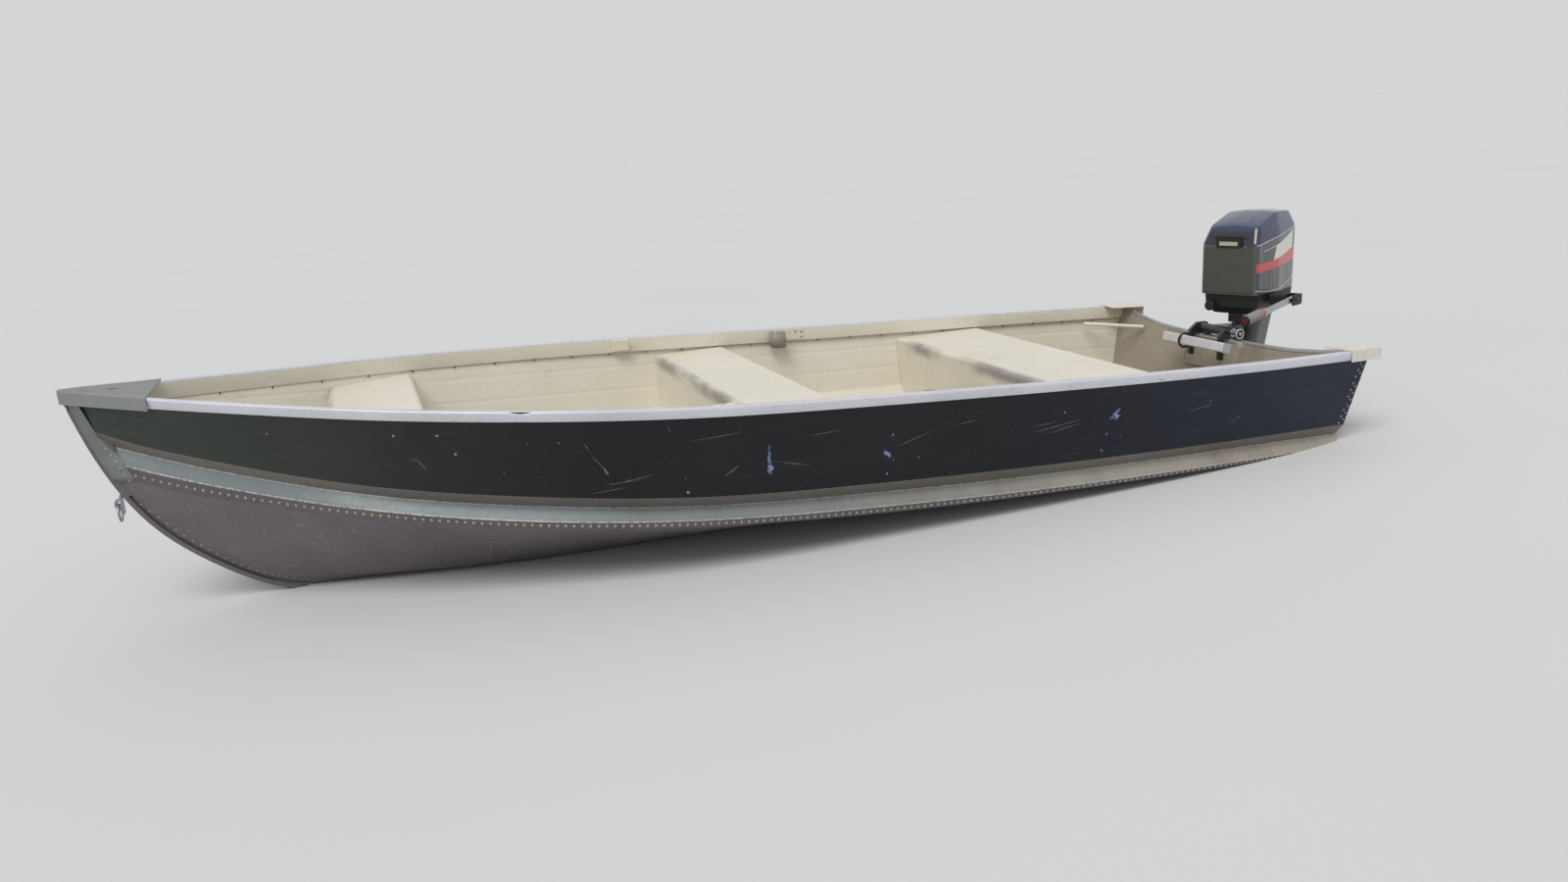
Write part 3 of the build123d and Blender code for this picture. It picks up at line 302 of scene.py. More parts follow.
inside_paint = painted("inside paint", (234, 230, 218), (218, 212, 194), rough=0.5, wear=(BARE, 0.5),
                       scratch=((150, 140, 120), 0.52), dirt=(SILT, 0.02, 0.16, 0.12))
transom_paint = painted("transom paint", (172, 163, 149), (142, 132, 118), rough=0.5, wear=(BARE, 0.6),
                        scratch=((110, 100, 84), 0.42), dirt=(SILT, 0.02, 0.2, 0.12))
rail_metal = painted("gunwale finish", (226, 226, 233), (196, 196, 205), rough=0.38, metal=0.2,
                     wear=((150, 148, 150), 0.6), scratch=((120, 118, 120), 0.45))
cap_plastic = painted("cap plastic", (146, 147, 148), (116, 119, 117), rough=0.5,
                      scratch=((110, 108, 108), 0.4))
corner_plastic = painted("corner cap finish", (236, 231, 223), (208, 202, 192), rough=0.45,
                         scratch=((130, 124, 116), 0.4))
pad_plastic = painted("transom pad", (186, 180, 168), (154, 147, 134), rough=0.45,
                      scratch=((84, 80, 74), 0.42))
keel_metal = bare_metal("keel bar metal", (122, 116, 120), (94, 89, 93), 0.5, 0.35, (0.3, 1, 1))
stem_metal = bare_metal("stem strip metal", (132, 138, 135), (104, 110, 107), 0.5, 0.3)
socket_metal = painted("rowlock socket finish", (166, 162, 153), (128, 124, 116), rough=0.5,
                       scratch=((96, 92, 86), 0.42))
frame_paint = painted("floor frame paint", (190, 178, 152), (150, 136, 108), rough=0.6,
                      dirt=(SILT, 0.0, 0.1, 0.12))
rivet_metal = bare_metal("rivet metal", (178, 170, 158), (138, 131, 122), 0.45, 0.3)
# Dark metal of the rail pins, which are a painted shadow below each rail rivet; the rowlock rivets use it
# too.
pin_shadow_and_rivet_metal = bare_metal("rail pins", (96, 84, 74), (60, 52, 46), 0.5, 0.7)
trim_metal = bare_metal("transom trim metal", (205, 205, 206), (150, 148, 146), 0.35, 0.7)
bright_steel = bare_metal("bright steel", (205, 208, 214), (150, 152, 158), 0.22, 1.0, relief=0.00006)
galvanised = bare_metal("galvanised steel", (168, 172, 178), (126, 130, 136), 0.38, 0.9)
bar_metal = painted("lock bar finish", (222, 224, 234), (196, 192, 186), rough=0.28, metal=0.35,
                    scratch=((140, 138, 140), 0.45), fine=30.0)
# The leg is painted mid grey, lighter than the motor paint, partly as a painted reflection of the sun.
leg_paint_and_reflection = painted("leg paint", (92, 92, 93), (62, 62, 64), rough=0.32, coat=0.3,
                    scratch=((150, 150, 150), 0.42), wear=((170, 170, 168), 0.6))
brass = bare_metal("brass plug", (176, 142, 84), (120, 92, 52), 0.4, 1.0)
motor_paint = painted("motor paint", (40, 42, 48), (28, 29, 33), rough=0.35, coat=0.3,
                      scratch=((120, 122, 126), 0.42), wear=((120, 122, 126), 0.5))
black_plastic = painted("black plastic", (30, 31, 33), (20, 20, 22), rough=0.5)
grip_rubber = painted("grip rubber", (158, 154, 150), (122, 118, 114), rough=0.7,
                      scratch=((90, 88, 86), 0.45))
panel_plastic = painted("front panel plastic", (84, 82, 77), (62, 61, 58), rough=0.4,
                        scratch=((108, 106, 102), 0.5))
cap_white = painted("pale ring", (222, 220, 214), (190, 188, 182), rough=0.45)
label_plate = painted("bare label", (190, 186, 172), (164, 160, 148), rough=0.5)
red_button = painted("grip button", (120, 34, 32), (88, 24, 24), rough=0.5)
red_ring = painted("throttle ring", (216, 84, 48), (180, 62, 38), rough=0.45)
engine_metal = bare_metal("engine block", (120, 120, 122), (80, 80, 82), 0.5, 0.8)

# Reach of the rubbed nose: aft from a bench's forward edge, and down from its top
NOSE = (0.045, 0.060)


def bench_material(name):
    """Bench paint, rubbed through to dull grey metal along the nose of the forward top edge."""
    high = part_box(name)[1]
    material = painted(name + " paint", (234, 229, 216), (216, 209, 192), rough=0.36,
                       wear=((176, 176, 178), 0.9), scratch=((150, 140, 122), 0.5), wear_radius=0.012)
    tree = material.node_tree
    x, y, z = split(place(tree))
    nose = (between(x, high[0] - NOSE[0], high[0] - NOSE[0] / 2)
            * between(z, high[2] - NOSE[1], high[2] - NOSE[1] / 2))
    rubbed = nose * (between(noise(tree, 7.0, 5.0, (1, 0.5, 1)), 0.36, 0.56) * 0.8)
    sockets = tree.nodes["Principled BSDF"].inputs
    paint = Output(tree, sockets["Base Color"].links[0].from_socket)
    feed(tree, sockets, {"Base Color": mixed(rubbed, paint, (128, 126, 128))})
    return material


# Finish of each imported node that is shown
FINISH = (
    (keel_metal, "keel"), (transom_paint, "transom"), (pad_plastic, "transom_pad_inner transom_pad_outer"),
    (cap_plastic, "bow_cap"), (frame_paint, "floor_frames"), (galvanised, "bow_eye bow_ring"),
    (corner_plastic, "corner_cap_port corner_cap_starboard"), (brass, "drain_plug"), (bar_metal, "lock_bar"),
    (inside_paint, "corner_brace_port corner_brace_starboard rowlock_socket_port rowlock_socket_starboard"),
    (bright_steel, "tilt_tube clamp_screw_port clamp_screw_starboard tiller_arm propeller_shaft"),
    (motor_paint, "clamp_bracket_port clamp_bracket_starboard swivel_bracket steering_yoke propeller"),
    (leg_paint_and_reflection, "driveshaft_housing gearcase"), (engine_metal, "powerhead"), (grip_rubber, "tiller_grip"),
    (black_plastic, "lower_cowl recoil_handle choke_knob tiller_bracket"),
    *[(bench_material(bench), bench) for bench in ("bow_bench", "middle_bench", "stern_bench")])

for finish, names in FINISH:
    for name in names.split():
        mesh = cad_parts[name].data
        mesh.materials.clear()
        mesh.materials.append(finish)


# Meshes from arrays

def afloat(points):
    """Points of the level hull turned by the trim about Y, bow up, into the row frame."""
    points = np.asarray(points, float)
    out = points.copy()
    out[..., 0] = points[..., 0] * math.cos(TRIM) - points[..., 2] * math.sin(TRIM)
    out[..., 2] = points[..., 0] * math.sin(TRIM) + points[..., 2] * math.cos(TRIM)
    return out


def mesh_piece(name, points, faces, materials, body, smooth=True):
    """A mesh object that rides on a body."""
    mesh = bpy.data.meshes.new(name)
    mesh.from_pydata(points.reshape(-1, 3).tolist(), [], faces)
    mesh.polygons.foreach_set("use_smooth", np.full(len(mesh.polygons), smooth))
    mesh.update()
    piece = bpy.data.objects.new(name, mesh)
    bpy.context.scene.collection.objects.link(piece)
    for material in materials:
        mesh.materials.append(material)
    if body:
        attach(piece, body)
    return piece


def grid_faces(rows, columns, around=False, flip=False):
    """Quads of a grid whose columns may close on themselves."""
    across = columns if around else columns - 1
    row, column = np.meshgrid(np.arange(rows - 1), np.arange(across), indexing="ij")
    following = (column + 1) % columns
    quads = np.stack([row * columns + column, row * columns + following,
                      (row + 1) * columns + following, (row + 1) * columns + column], -1).reshape(-1, 4)
    return (quads[:, ::-1] if flip else quads).tolist()


def crisp_edges(piece, degrees):
    """Breaks the smooth shading at edges that turn by more than an angle."""
    piece.modifiers.new("crisp edges", "EDGE_SPLIT").split_angle = math.radians(degrees)


def sheet_piece(name, points, materials, body, flip, wall):
    """An open grid of points made a sheet. Solidify adds the wall behind it, in the last material."""
    faces = grid_faces(*points.shape[:2], flip=flip)
    piece = mesh_piece(name, points, faces, materials, body)
    solid = piece.modifiers.new("wall", "SOLIDIFY")
    solid.thickness, solid.offset = wall, -1.0
    solid.use_even_offset = True
    solid.material_offset = len(materials) - 1
    return piece


def tube_piece(name, rings, materials, body, flip=False):
    """Closed rings of points (ring, point, 3) joined along a path, with flat end faces."""
    rows, columns = rings.shape[:2]
    first = list(range(columns))
    last = [(rows - 1) * columns + k for k in first]
    ends = [first, last[::-1]] if flip else [first[::-1], last]
    return mesh_piece(name, rings, grid_faces(rows, columns, True, flip) + ends, materials, body)


def weld(piece, gap=0.0002):
    """Joins doubled points and turns every face outwards."""
    shape = bmesh.new()
    shape.from_mesh(piece.data)
    bmesh.ops.remove_doubles(shape, verts=shape.verts, dist=gap)
    bmesh.ops.recalc_face_normals(shape, faces=shape.faces)
    shape.to_mesh(piece.data)
    shape.free()


def slab(name, outline, thick, place_points, material, body, bevel=0.0012):
    """Plate from a closed outline (a, b): its edge steps in by a bevel at both faces. place_points
    turns (n, 3) points of a, b and depth into the motor's or the hull's frame."""
    middle = outline.mean(0)
    inset = middle + (outline - middle) * (1 - bevel / np.abs(outline - middle).max(0))
    layers = [(inset, 0.0), (outline, bevel), (outline, thick - bevel), (inset, thick)]
    rings = np.array([with_depth(shape, depth) for shape, depth in layers])
    piece = tube_piece(name, afloat(place_points(rings)), [material], body)
    weld(piece)
    crisp_edges(piece, 35)
    return piece


def with_depth(outline, depth):
    """Points (a, b) with a depth as their third value, one for all or one for each."""
    return np.column_stack([outline, np.broadcast_to(depth, len(outline))])


def rounded(corners, steps=4):
    """Closed outline through corners (a, b, radius), each an arc tangent to its two sides."""
    points = []
    count = len(corners)
    for k, (a, b, radius) in enumerate(corners):
        here = np.array((a, b))
        ways = [np.array(corners[(k + step) % count][:2]) - here for step in (-1, 1)]
        ways = [way / np.linalg.norm(way) for way in ways]
        half = math.acos(np.clip(ways[0] @ ways[1], -1, 1)) / 2
        centre = here + (ways[0] + ways[1]) / np.linalg.norm(ways[0] + ways[1]) * radius / math.sin(half)
        ends = [here + way * radius / math.tan(half) - centre for way in ways]
        angles = [math.atan2(end[1], end[0]) for end in ends]
        turn = (angles[1] - angles[0] + math.pi) % (2 * math.pi) - math.pi
        at = angles[0] + turn * np.linspace(0, 1, steps)
        points += list(centre + radius * np.stack([np.cos(at), np.sin(at)], -1))
    return np.array(points)


def box_outline(box, radius):
    """Outline of a box (a0, a1, b0, b1) with rounded corners."""
    a0, a1, b0, b1 = box
    return rounded([(a0, b0, radius), (a1, b0, radius), (a1, b1, radius), (a0, b1, radius)], 5)


# Points round a torus, and round the section of its rod
RING_COUNT, ROD_COUNT = 40, 12


def square_to(axis):
    """A direction's unit vector, and two unit vectors square to it and to each other."""
    axis = np.array(axis, float) / np.linalg.norm(axis)
    first = np.cross(axis, (0, 0, 1.0) if abs(axis[2]) < 0.9 else (1.0, 0, 0))
    first /= np.linalg.norm(first)
    return axis, first, np.cross(axis, first)


def ring_piece(name, centre, axis, radius, rod, material, tall=1.0):
    """Torus on the hull: a circle of a rod's section carried about an axis, round a circle or, with
    tall, round an ellipse."""
    axis, first, second = square_to(axis)
    turn = np.linspace(0, 2 * math.pi, RING_COUNT, endpoint=False)[:, None, None]
    spin = np.linspace(0, 2 * math.pi, ROD_COUNT, endpoint=False)[None, :, None]
    out = np.cos(turn) * first + np.sin(turn) * second * tall
    away = np.cos(turn) * first + np.sin(turn) * second
    grid = np.array(centre) + out * radius + rod * (np.cos(spin) * away + np.sin(spin) * axis)
    grid = np.concatenate([grid, grid[:1]])
    piece = mesh_piece(name, afloat(grid), grid_faces(len(grid), ROD_COUNT, around=True), [material], "hull")
    weld(piece)


def turned_piece(name, centre, axis, profile, material, body, sides=32):
    """Turned form: a profile of (radius, height along the axis) carried round the axis."""
    axis, first, second = square_to(axis)
    turn = np.linspace(0, 2 * math.pi, sides, endpoint=False)[:, None]
    round_it = np.cos(turn) * first + np.sin(turn) * second
    rings = np.array([np.array(centre) + axis * height + round_it * radius for radius, height in profile])
    piece = tube_piece(name, afloat(rings), [material], body)
    weld(piece, 0.00005)
    crisp_edges(piece, 35)


# The hull's lines

def fair(values, wanted):
    """Cubic through one column's values at the hull's stations, clamped at both ends to the slope
    of the cubic through the last four."""
    x = HULL[:, 0]
    step = np.diff(x)
    rise = np.diff(values) / step
    count = len(x)
    slopes = [np.polyval(np.polyder(np.polyfit(x[part], values[part], 3)), end)
              for part, end in ((slice(0, 4), x[0]), (slice(-4, None), x[-1]))]
    matrix, right = np.zeros((count, count)), np.zeros(count)
    matrix[0, :2], right[0] = (2 * step[0], step[0]), 6 * (rise[0] - slopes[0])
    matrix[-1, -2:], right[-1] = (step[-1], 2 * step[-1]), 6 * (slopes[1] - rise[-1])
    inner = np.arange(1, count - 1)
    matrix[inner, inner - 1], matrix[inner, inner + 1] = step[:-1], step[1:]
    matrix[inner, inner], right[inner] = 2 * (step[:-1] + step[1:]), 6 * np.diff(rise)
    bend = np.linalg.solve(matrix, right)
    span = np.clip(np.searchsorted(x, wanted) - 1, 0, count - 2)
    left, gap = x[span], step[span]
    a, b = (x[span + 1] - wanted) / gap, (wanted - left) / gap
    return (a * values[span] + b * values[span + 1]
            + ((a ** 3 - a) * bend[span] + (b ** 3 - b) * bend[span + 1]) * gap ** 2 / 6)


def fair_line(points):
    """Line through one point (y, z) for each station of the hull, at the dense stations."""
    return np.stack([fair(points[:, k], DENSE_X) for k in (0, 1)], -1)


DENSE_X = np.linspace(-2.15, 2.18, 900)
LINES = {pair: fair_line(HULL[:, pair]) for pair in (GUNWALE, PAINT, FACET, EDGE, FOOT, STRAKE, KEEL)}
# How far the bottom sheets reach down into the keel bar: everywhere, and more about a place on the knee
REACH, KNEE_REACH, KNEE_X, KNEE_LENGTH = 0.003, 0.008, 1.93, 0.06
LINES[KEEL][:, 1] -= REACH + KNEE_REACH * np.exp(-((DENSE_X - KNEE_X) / KNEE_LENGTH) ** 2)
# Rows meet the transom aft of this x, and the centre plane ahead of it
MIDSHIP_X = -1.0


def transom_x(z, forward=0.0):
    """X of the transom's aft face at a height, or of a plane that lies forward of it."""
    return TRANSOM_TOP[0] + (TRANSOM_TOP[1] - z) * math.tan(TRANSOM_RAKE) + forward / math.cos(TRANSOM_RAKE)


def trimmed(rows, columns, forward=0.0, end=STEM_END):
    """Grid from rows of (y, z) at the dense stations. Each row starts in the plane of the transom's
    aft face, or ahead of it, and ends at x = end or where it comes to the centre plane."""
    share = np.linspace(0, 1, columns)
    ahead = DENSE_X > MIDSHIP_X
    out = []
    for row in rows:
        y, z = row.T
        start = np.interp(0.0, (DENSE_X - transom_x(z, forward))[~ahead], DENSE_X[~ahead])
        beyond = np.nonzero((y < PLAY / 2) & ahead)[0]
        stop = end
        if len(beyond):
            k = beyond[0]
            share_over = (y[k - 1] - PLAY / 2) / (y[k - 1] - y[k])
            stop = min(stop, DENSE_X[k - 1] + (DENSE_X[k] - DENSE_X[k - 1]) * share_over)
        x = start + (stop - start) * share
        out.append(np.stack([x, np.interp(x, DENSE_X, y), np.interp(x, DENSE_X, z)], -1))
    return np.array(out)


def strips(lines, counts):
    """Rows of (y, z) in straight strips between fair lines; counts gives the rows in each strip."""
    rows = []
    for (above, below), count in zip(zip(lines, lines[1:]), counts):
        shares = np.linspace(0, 1, count + 1)[: None if below is lines[-1] else -1]
        rows += [above * (1 - share) + below * share for share in shares]
    return rows


def starboard(points):
    return points * np.array((1, -1, 1))


def on_line(pair, x):
    """Points (x, y, z) of a fair line at given x."""
    line = LINES[pair]
    return np.stack([x, np.interp(x, DENSE_X, line[:, 0]), np.interp(x, DENSE_X, line[:, 1])], -1)


def on_side(above_line, below_line, x, share):
    """Points and outward normals of the port side, share of the way from one line to the next."""
    def spot(x):
        return on_line(above_line, x) * (1 - share) + on_line(below_line, x) * share
    along = spot(x + 0.01) - spot(x - 0.01)
    normal = np.cross(along, on_line(below_line, x) - on_line(above_line, x))
    return spot(x), normal / np.linalg.norm(normal, axis=1, keepdims=True)


# The hull's looks

# Scars on the port side. Columns: x, z, half length, half width, angle from the bow's direction up.
BLUE_SCARS = (
    (0.204, 0.330, 0.055, 0.0065, 92), (0.200, 0.306, 0.020, 0.011, 88), (-0.182, 0.302, 0.017, 0.009, 40),
    (-0.190, 0.292, 0.010, 0.008, 95), (-1.002, 0.325, 0.027, 0.0075, 136),
    (-1.010, 0.315, 0.014, 0.011, 150), (-0.199, 0.363, 0.007, 0.004, 100),
    (-0.979, 0.257, 0.006, 0.005, 90), (-0.967, 0.201, 0.006, 0.005, 90),
    (-0.187, 0.231, 0.006, 0.004, 90), (1.146, 0.502, 0.005, 0.005, 0), (1.264, 0.508, 0.004, 0.004, 0),
    (1.10, 0.44, 0.006, 0.005, 90))
PALE_SCARS = (
    (0.613, 0.318, 0.085, 0.0014, 172), (0.640, 0.312, 0.055, 0.0011, 178),
    (0.737, 0.431, 0.022, 0.0014, 63), (0.701, 0.372, 0.045, 0.0013, 55), (0.688, 0.352, 0.014, 0.004, 70),
    (1.197, 0.411, 0.030, 0.0013, 60), (1.212, 0.424, 0.020, 0.0010, 30), (0.505, 0.470, 0.014, 0.0016, 62),
    (0.142, 0.316, 0.083, 0.0012, 17), (0.315, 0.317, 0.024, 0.0016, 142),
    (0.328, 0.309, 0.018, 0.0012, 146), (-0.277, 0.340, 0.074, 0.0013, 164),
    (-0.785, 0.313, 0.101, 0.0013, 175), (-0.81, 0.300, 0.070, 0.0012, 172),
    (-0.74, 0.325, 0.050, 0.0011, 178), (0.368, 0.431, 0.090, 0.0011, 178),
    (0.684, 0.288, 0.058, 0.0012, 175), (-0.45, 0.37, 0.040, 0.0011, 176),
    (-1.35, 0.30, 0.060, 0.0012, 174), (-1.52, 0.24, 0.035, 0.0012, 150), (0.02, 0.40, 0.060, 0.0010, 179))


def scars(tree, rows, wander):
    """Mask of strokes on the port side: each is an ellipse in the X-Z plane, in a Mapping's own
    turned and scaled frame."""
    marks = 0.0
    for x, z, half_length, half_width, angle in rows:
        inputs = {"Vector": place(tree), "Location": Vector(afloat((x, 0.0, z))),
                  "Rotation": (0.0, -math.radians(angle), 0.0), "Scale": (half_length, 100.0, half_width)}
        stroke = node(tree, "Mapping", inputs, vector_type="TEXTURE")
        away = node(tree, "VectorMath", {0: stroke}, "Value", operation="LENGTH")
        marks = between(away + wander, 1.0, 0.7).math("MAXIMUM", marks)
    return marks * split(place(tree))[1].math("GREATER_THAN", 0.0)


def hull_side_material():
    """Side paint: black amidships, bluer astern and greener at the bow, with three bare strips below
    the paint line, toned partly by their facing as painted sky reflection and painted shade, and
    painted highlights along the spray rail's folds. The sheet's attribute gives the height above that
    line or, below it, minus a tenth of the share of the way down."""
    material, tree, sockets = new_material("side paint", (22, 24, 31), 0.4)
    cloud = use(tree, MOTTLE, Scale=2.4, Fine=60.0, Contrast=1.5)
    along = split(place(tree))[0]
    black = mixed(cloud, (12, 14, 19), (29, 31, 35))
    black = mixed(between(along, -0.5, -2.0), black, mixed(cloud, (11, 18, 38), (26, 35, 58)))
    black = mixed(between(along, 0.7, 2.1, 0.0, 0.9), black, mixed(cloud, (44, 51, 44), (62, 69, 61)))
    scuffs = between(noise(tree, 26.0, 6.0, (0.12, 1, 2.4), rough=0.7), 0.62, 0.78)
    fine = use(tree, SCRATCHES, Scale=3.0, Width=0.0028, Cover=0.5)
    black = mixed((fine * 0.4).math("MAXIMUM", scuffs * 0.22), black, (112, 113, 116))
    chips = between(noise(tree, 42.0, 2.0, offset=(5, 3, 1)), 0.765, 0.785)
    black = mixed(chips, black, (150, 156, 176))
    broken = between(noise(tree, 90.0, 2.0), 0.38, 0.55, 0.25, 0.9)
    black = mixed(scars(tree, PALE_SCARS, 0.0) * broken * 0.45, black, (158, 166, 178))
    blue = scars(tree, BLUE_SCARS, (noise(tree, 170.0) - 0.42) * 2.4) * 0.7
    black = mixed(blue, black, mixed(broken, (66, 84, 150), (168, 184, 226)))

    band = node(tree, "Attribute", output="Fac", attribute_name="above_paint_line")
    depth = band * -10.0
    # The bare strips are one metal, toned partly by their facing: the upward facet is painted lighter and
    # bluer as a painted sky reflection, and lighter and warmer still toward the stern; the down-facing strip
    # above it and the upright flange below are painted darker, partly as painted shade.
    upper = mixed(cloud, (104, 101, 95), (134, 130, 122))
    facet = mixed(cloud, (112, 120, 124), (140, 147, 150))
    facet = mixed(between(along, 0.6, -1.6), facet, mixed(cloud, (150, 143, 133), (180, 172, 160)))
    bare = mixed(between(depth, 0.37, 0.40), upper, facet)
    bare = mixed(between(depth, 0.76, 0.79), bare, mixed(cloud, (84, 80, 83), (108, 103, 106)))
    streak = between(noise(tree, 9.0, 5.0, (1, 1, 0.15)), 0.5, 0.75)
    bare = mixed(streak * 0.35, bare, (112, 104, 92))
    # Painted highlights: thin pale lines along the spray rail's two folds, where light glints on the bent
    # metal.
    for crease in (0.385, 0.772):
        near = between(abs(depth - crease), 0.022, 0.010)
        bare = mixed(near * broken, bare, (196, 197, 196))
    share = between(band + noise(tree, 120.0) * 0.0016, 0.0002, 0.0014)
    feed(tree, sockets, {
        "Base Color": mixed(share, bare, black), "Metallic": between(share, 0.0, 1.0, 0.3, 0.0),
        "Roughness": between(cloud, 0.2, 0.8, 0.44, 0.32) + between(share, 0.0, 1.0, 0.14, 0.0),
        "Specular IOR Level": 0.3, "Normal": bump(noise(tree, 5.0, 3.0, (0.4, 1, 1)), 0.004, 0.5)})
    return material


def bottom_material():
    """Bare bottom sheets: dull metal, with a scum line at the water plane and growth below it."""
    material, tree, sockets = new_material("bottom metal", BARE, 0.5, 0.3)
    cloud = use(tree, MOTTLE, Scale=4.0, Fine=60.0, Contrast=1.6)
    low = use(tree, DIRT, Height=0.03, Fade=0.05, Ragged=0.05)
    bare = mixed(low, mixed(cloud, (98, 92, 97), (126, 119, 124)), (86, 84, 66))
    scratched = use(tree, SCRATCHES, Scale=4.0, Width=0.005, Cover=0.45)
    feed(tree, sockets, {
        "Base Color": mixed(scratched, bare, (170, 168, 166)), "Metallic": between(low, 0.0, 1.0, 0.3, 0.05),
        "Roughness": between(cloud, 0.2, 0.8, 0.62, 0.45),
        "Normal": bump(noise(tree, 4.0, 3.0, (0.4, 1, 1)), 0.006, 0.5)})
    return material


# The hull's pieces

SIDE_ROWS, SIDE_COLUMNS = (60, 5, 5, 3), 260
BOTTOM_ROWS = (2, 14, 14)
# Pressed creases of the side: shares of the height, how far they stand out, and half their width
CREASES = (0.40, 0.72)
CREASE_OUT, CREASE_SHARE = 0.0014, 0.022
# Height that the side sheet's attribute gives its top edge
PAINT_HEIGHT = 0.28
GUNWALE_COLUMNS = 300
# The rail's inner flange is painted below this drop; the dent takes the rail inboard to DENT_REACH and
# down to DENT_BELOW
CREAM_BELOW, DENT_REACH, DENT_BELOW = 0.0055, 0.012, 0.020
# Share of its radius by which a rivet's foot sinks into the sheet
RIVET_SINK = 0.06
SIDE_RIVET, BOTTOM_RIVET, RAIL_RIVET, STEM_RIVET, SOCKET_RIVET = 0.0048, 0.0043, 0.0042, 0.0040, 0.0040
# Spacing of the rivets along the spray rail and the stem, and the part of the hull with each row
RIVET_SPACING = 0.0235
FLANGE_SPAN, KNEE_SPAN, RAIL_SPAN = (-2.03, 2.05), (1.25, 2.02), (-1.95, 1.80)
# The knee's row: its count, and how far up the sheet it lies
KNEE_COUNT, STEM_ROW = 38, 0.031
# The transom edge's zigzag: its station, its count and the distances ahead of the transom
ZIGZAG_X, ZIGZAG_COUNT, ZIGZAG_AHEAD = -2.1, 22, (0.012, 0.028)
# Stations of the floor frames and bench feet
FRAME_X = (-1.80, -1.58, -0.76, -0.54, -0.32, 0.38, 0.60, 0.82, 1.02)
# Rail pins, dark blocks painted as the shadow below each rail rivet: spacing, ends along the rail, top and
# foot above its flange's edge, and inner and outer face
PIN_SPACING = 0.155
PIN_ENDS, PIN_HEIGHTS, PIN_FACES = (-0.0015, 0.0015), (0.004, -0.009), (0.0005, 0.0045)
# Strip over the transom's top edge: how far it reaches to each side, its wall, depth and gap, and its
# points along. The transom's points above EDGE_FROM belong to that edge.
TRIM_END_Y, TRIM_WALL, TRIM_DEPTH, TRIM_GAP = 0.655, 0.0012, 0.013, 0.0005
TRIM_POINTS, EDGE_FROM = 121, 0.33
# Stem's front line (x, z), half the stem bar's width, the strips' wall, and their width at heights
STEM_POINTS = ((1.970, 0.206), (2.048, 0.326), (2.094, 0.431), (2.124, 0.521), (2.150, 0.616),
               (2.170, 0.700))
STEM_HALF, STEM_WALL = 0.0145, 0.0014
STEM_BAND = ((0.40, 0.45, 0.52), (0.056, 0.054, 0.030))
# The strips' start below the rail's lip, their rows, how far they stand ahead of the stem line and off
# the sheet, the count of dense stations looked at, and where their rivets start from the top
STEM_DROP, STEM_ROWS, STEM_AHEAD, STEM_OFF = 0.004, (24, 6, 4, 3), 0.004, 0.0016
BOW_COUNT, STEM_RIVETS_FROM = 60, 0.16
# Rowlock socket: its station; its plate (a0, a1, b0, b1), wall and rivets (a, b); its cup's centre
# (a, depth), outer and inner radius, and foot and top (b)
ROWLOCK_PLATE_X = -0.405
ROWLOCK_PLATE, PLATE_WALL = (-0.085, 0.012, -0.052, -0.006), 0.003
ROWLOCK_RIVETS = ((-0.072, -0.020), (-0.045, -0.018), (-0.072, -0.042))
CUP_CENTRE, CUP_RADII, CUP_HEIGHTS = (0.050, 0.030), (0.035, 0.029), (-0.074, -0.012)


def build_skin():
    """Side and bottom sheets: grids across the fair lines, Solidify giving the wall. The side bulges
    by a Gaussian of its share of the height at each pressed crease."""
    side_paint, bottom_metal = hull_side_material(), bottom_material()
    top = LINES[GUNWALE] - np.array((0.0, GUNWALE_WALL + PLAY))
    rows = np.array(strips([top, LINES[PAINT], LINES[FACET], LINES[EDGE], LINES[FOOT]], SIDE_ROWS))
    high = SIDE_ROWS[0]
    share = np.linspace(0, 1, high)
    for crease in CREASES:
        rows[:high, :, 0] += CREASE_OUT * np.exp(-((share - crease) / CREASE_SHARE) ** 2)[:, None]
    side = trimmed(rows, SIDE_COLUMNS)
    count = len(rows) - high
    height = np.concatenate([np.linspace(1, 0, high, endpoint=False), np.zeros(count)])
    depth = np.concatenate([np.zeros(high), np.linspace(0, 1, count)])
    above_paint = (height * PAINT_HEIGHT - depth * 0.1)[:, None] * np.ones(SIDE_COLUMNS)
    edge, foot = [HULL[:, pair] for pair in (EDGE, FOOT)]
    inside = edge[:, 0] - SHEET - PLAY
    lap = fair_line(np.stack([inside, (edge[:, 1] + foot[:, 1]) / 2 + 0.002], -1))
    turn = fair_line(np.stack([inside, foot[:, 1] + 0.001], -1))
    centre = LINES[KEEL] + np.array((PLAY, 0))
    bottom = trimmed(strips([lap, turn, LINES[STRAKE], centre], BOTTOM_ROWS), SIDE_COLUMNS)
    for hand, way in HANDS:
        piece = sheet_piece("side_sheet_" + hand, afloat(side * (1, way, 1)), [side_paint, inside_paint],
                            "hull", way < 0, SHEET)
        crisp_edges(piece, 30)
        values = piece.data.attributes.new("above_paint_line", "FLOAT", "POINT")
        values.data.foreach_set("value", above_paint.ravel())
        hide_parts("side_" + hand)
        piece = sheet_piece("bottom_sheet_" + hand, afloat(bottom * (1, way, 1)),
                            [bottom_metal, inside_paint], "hull", way < 0, SHEET)
        crisp_edges(piece, 30)
        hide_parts("bottom_" + hand)


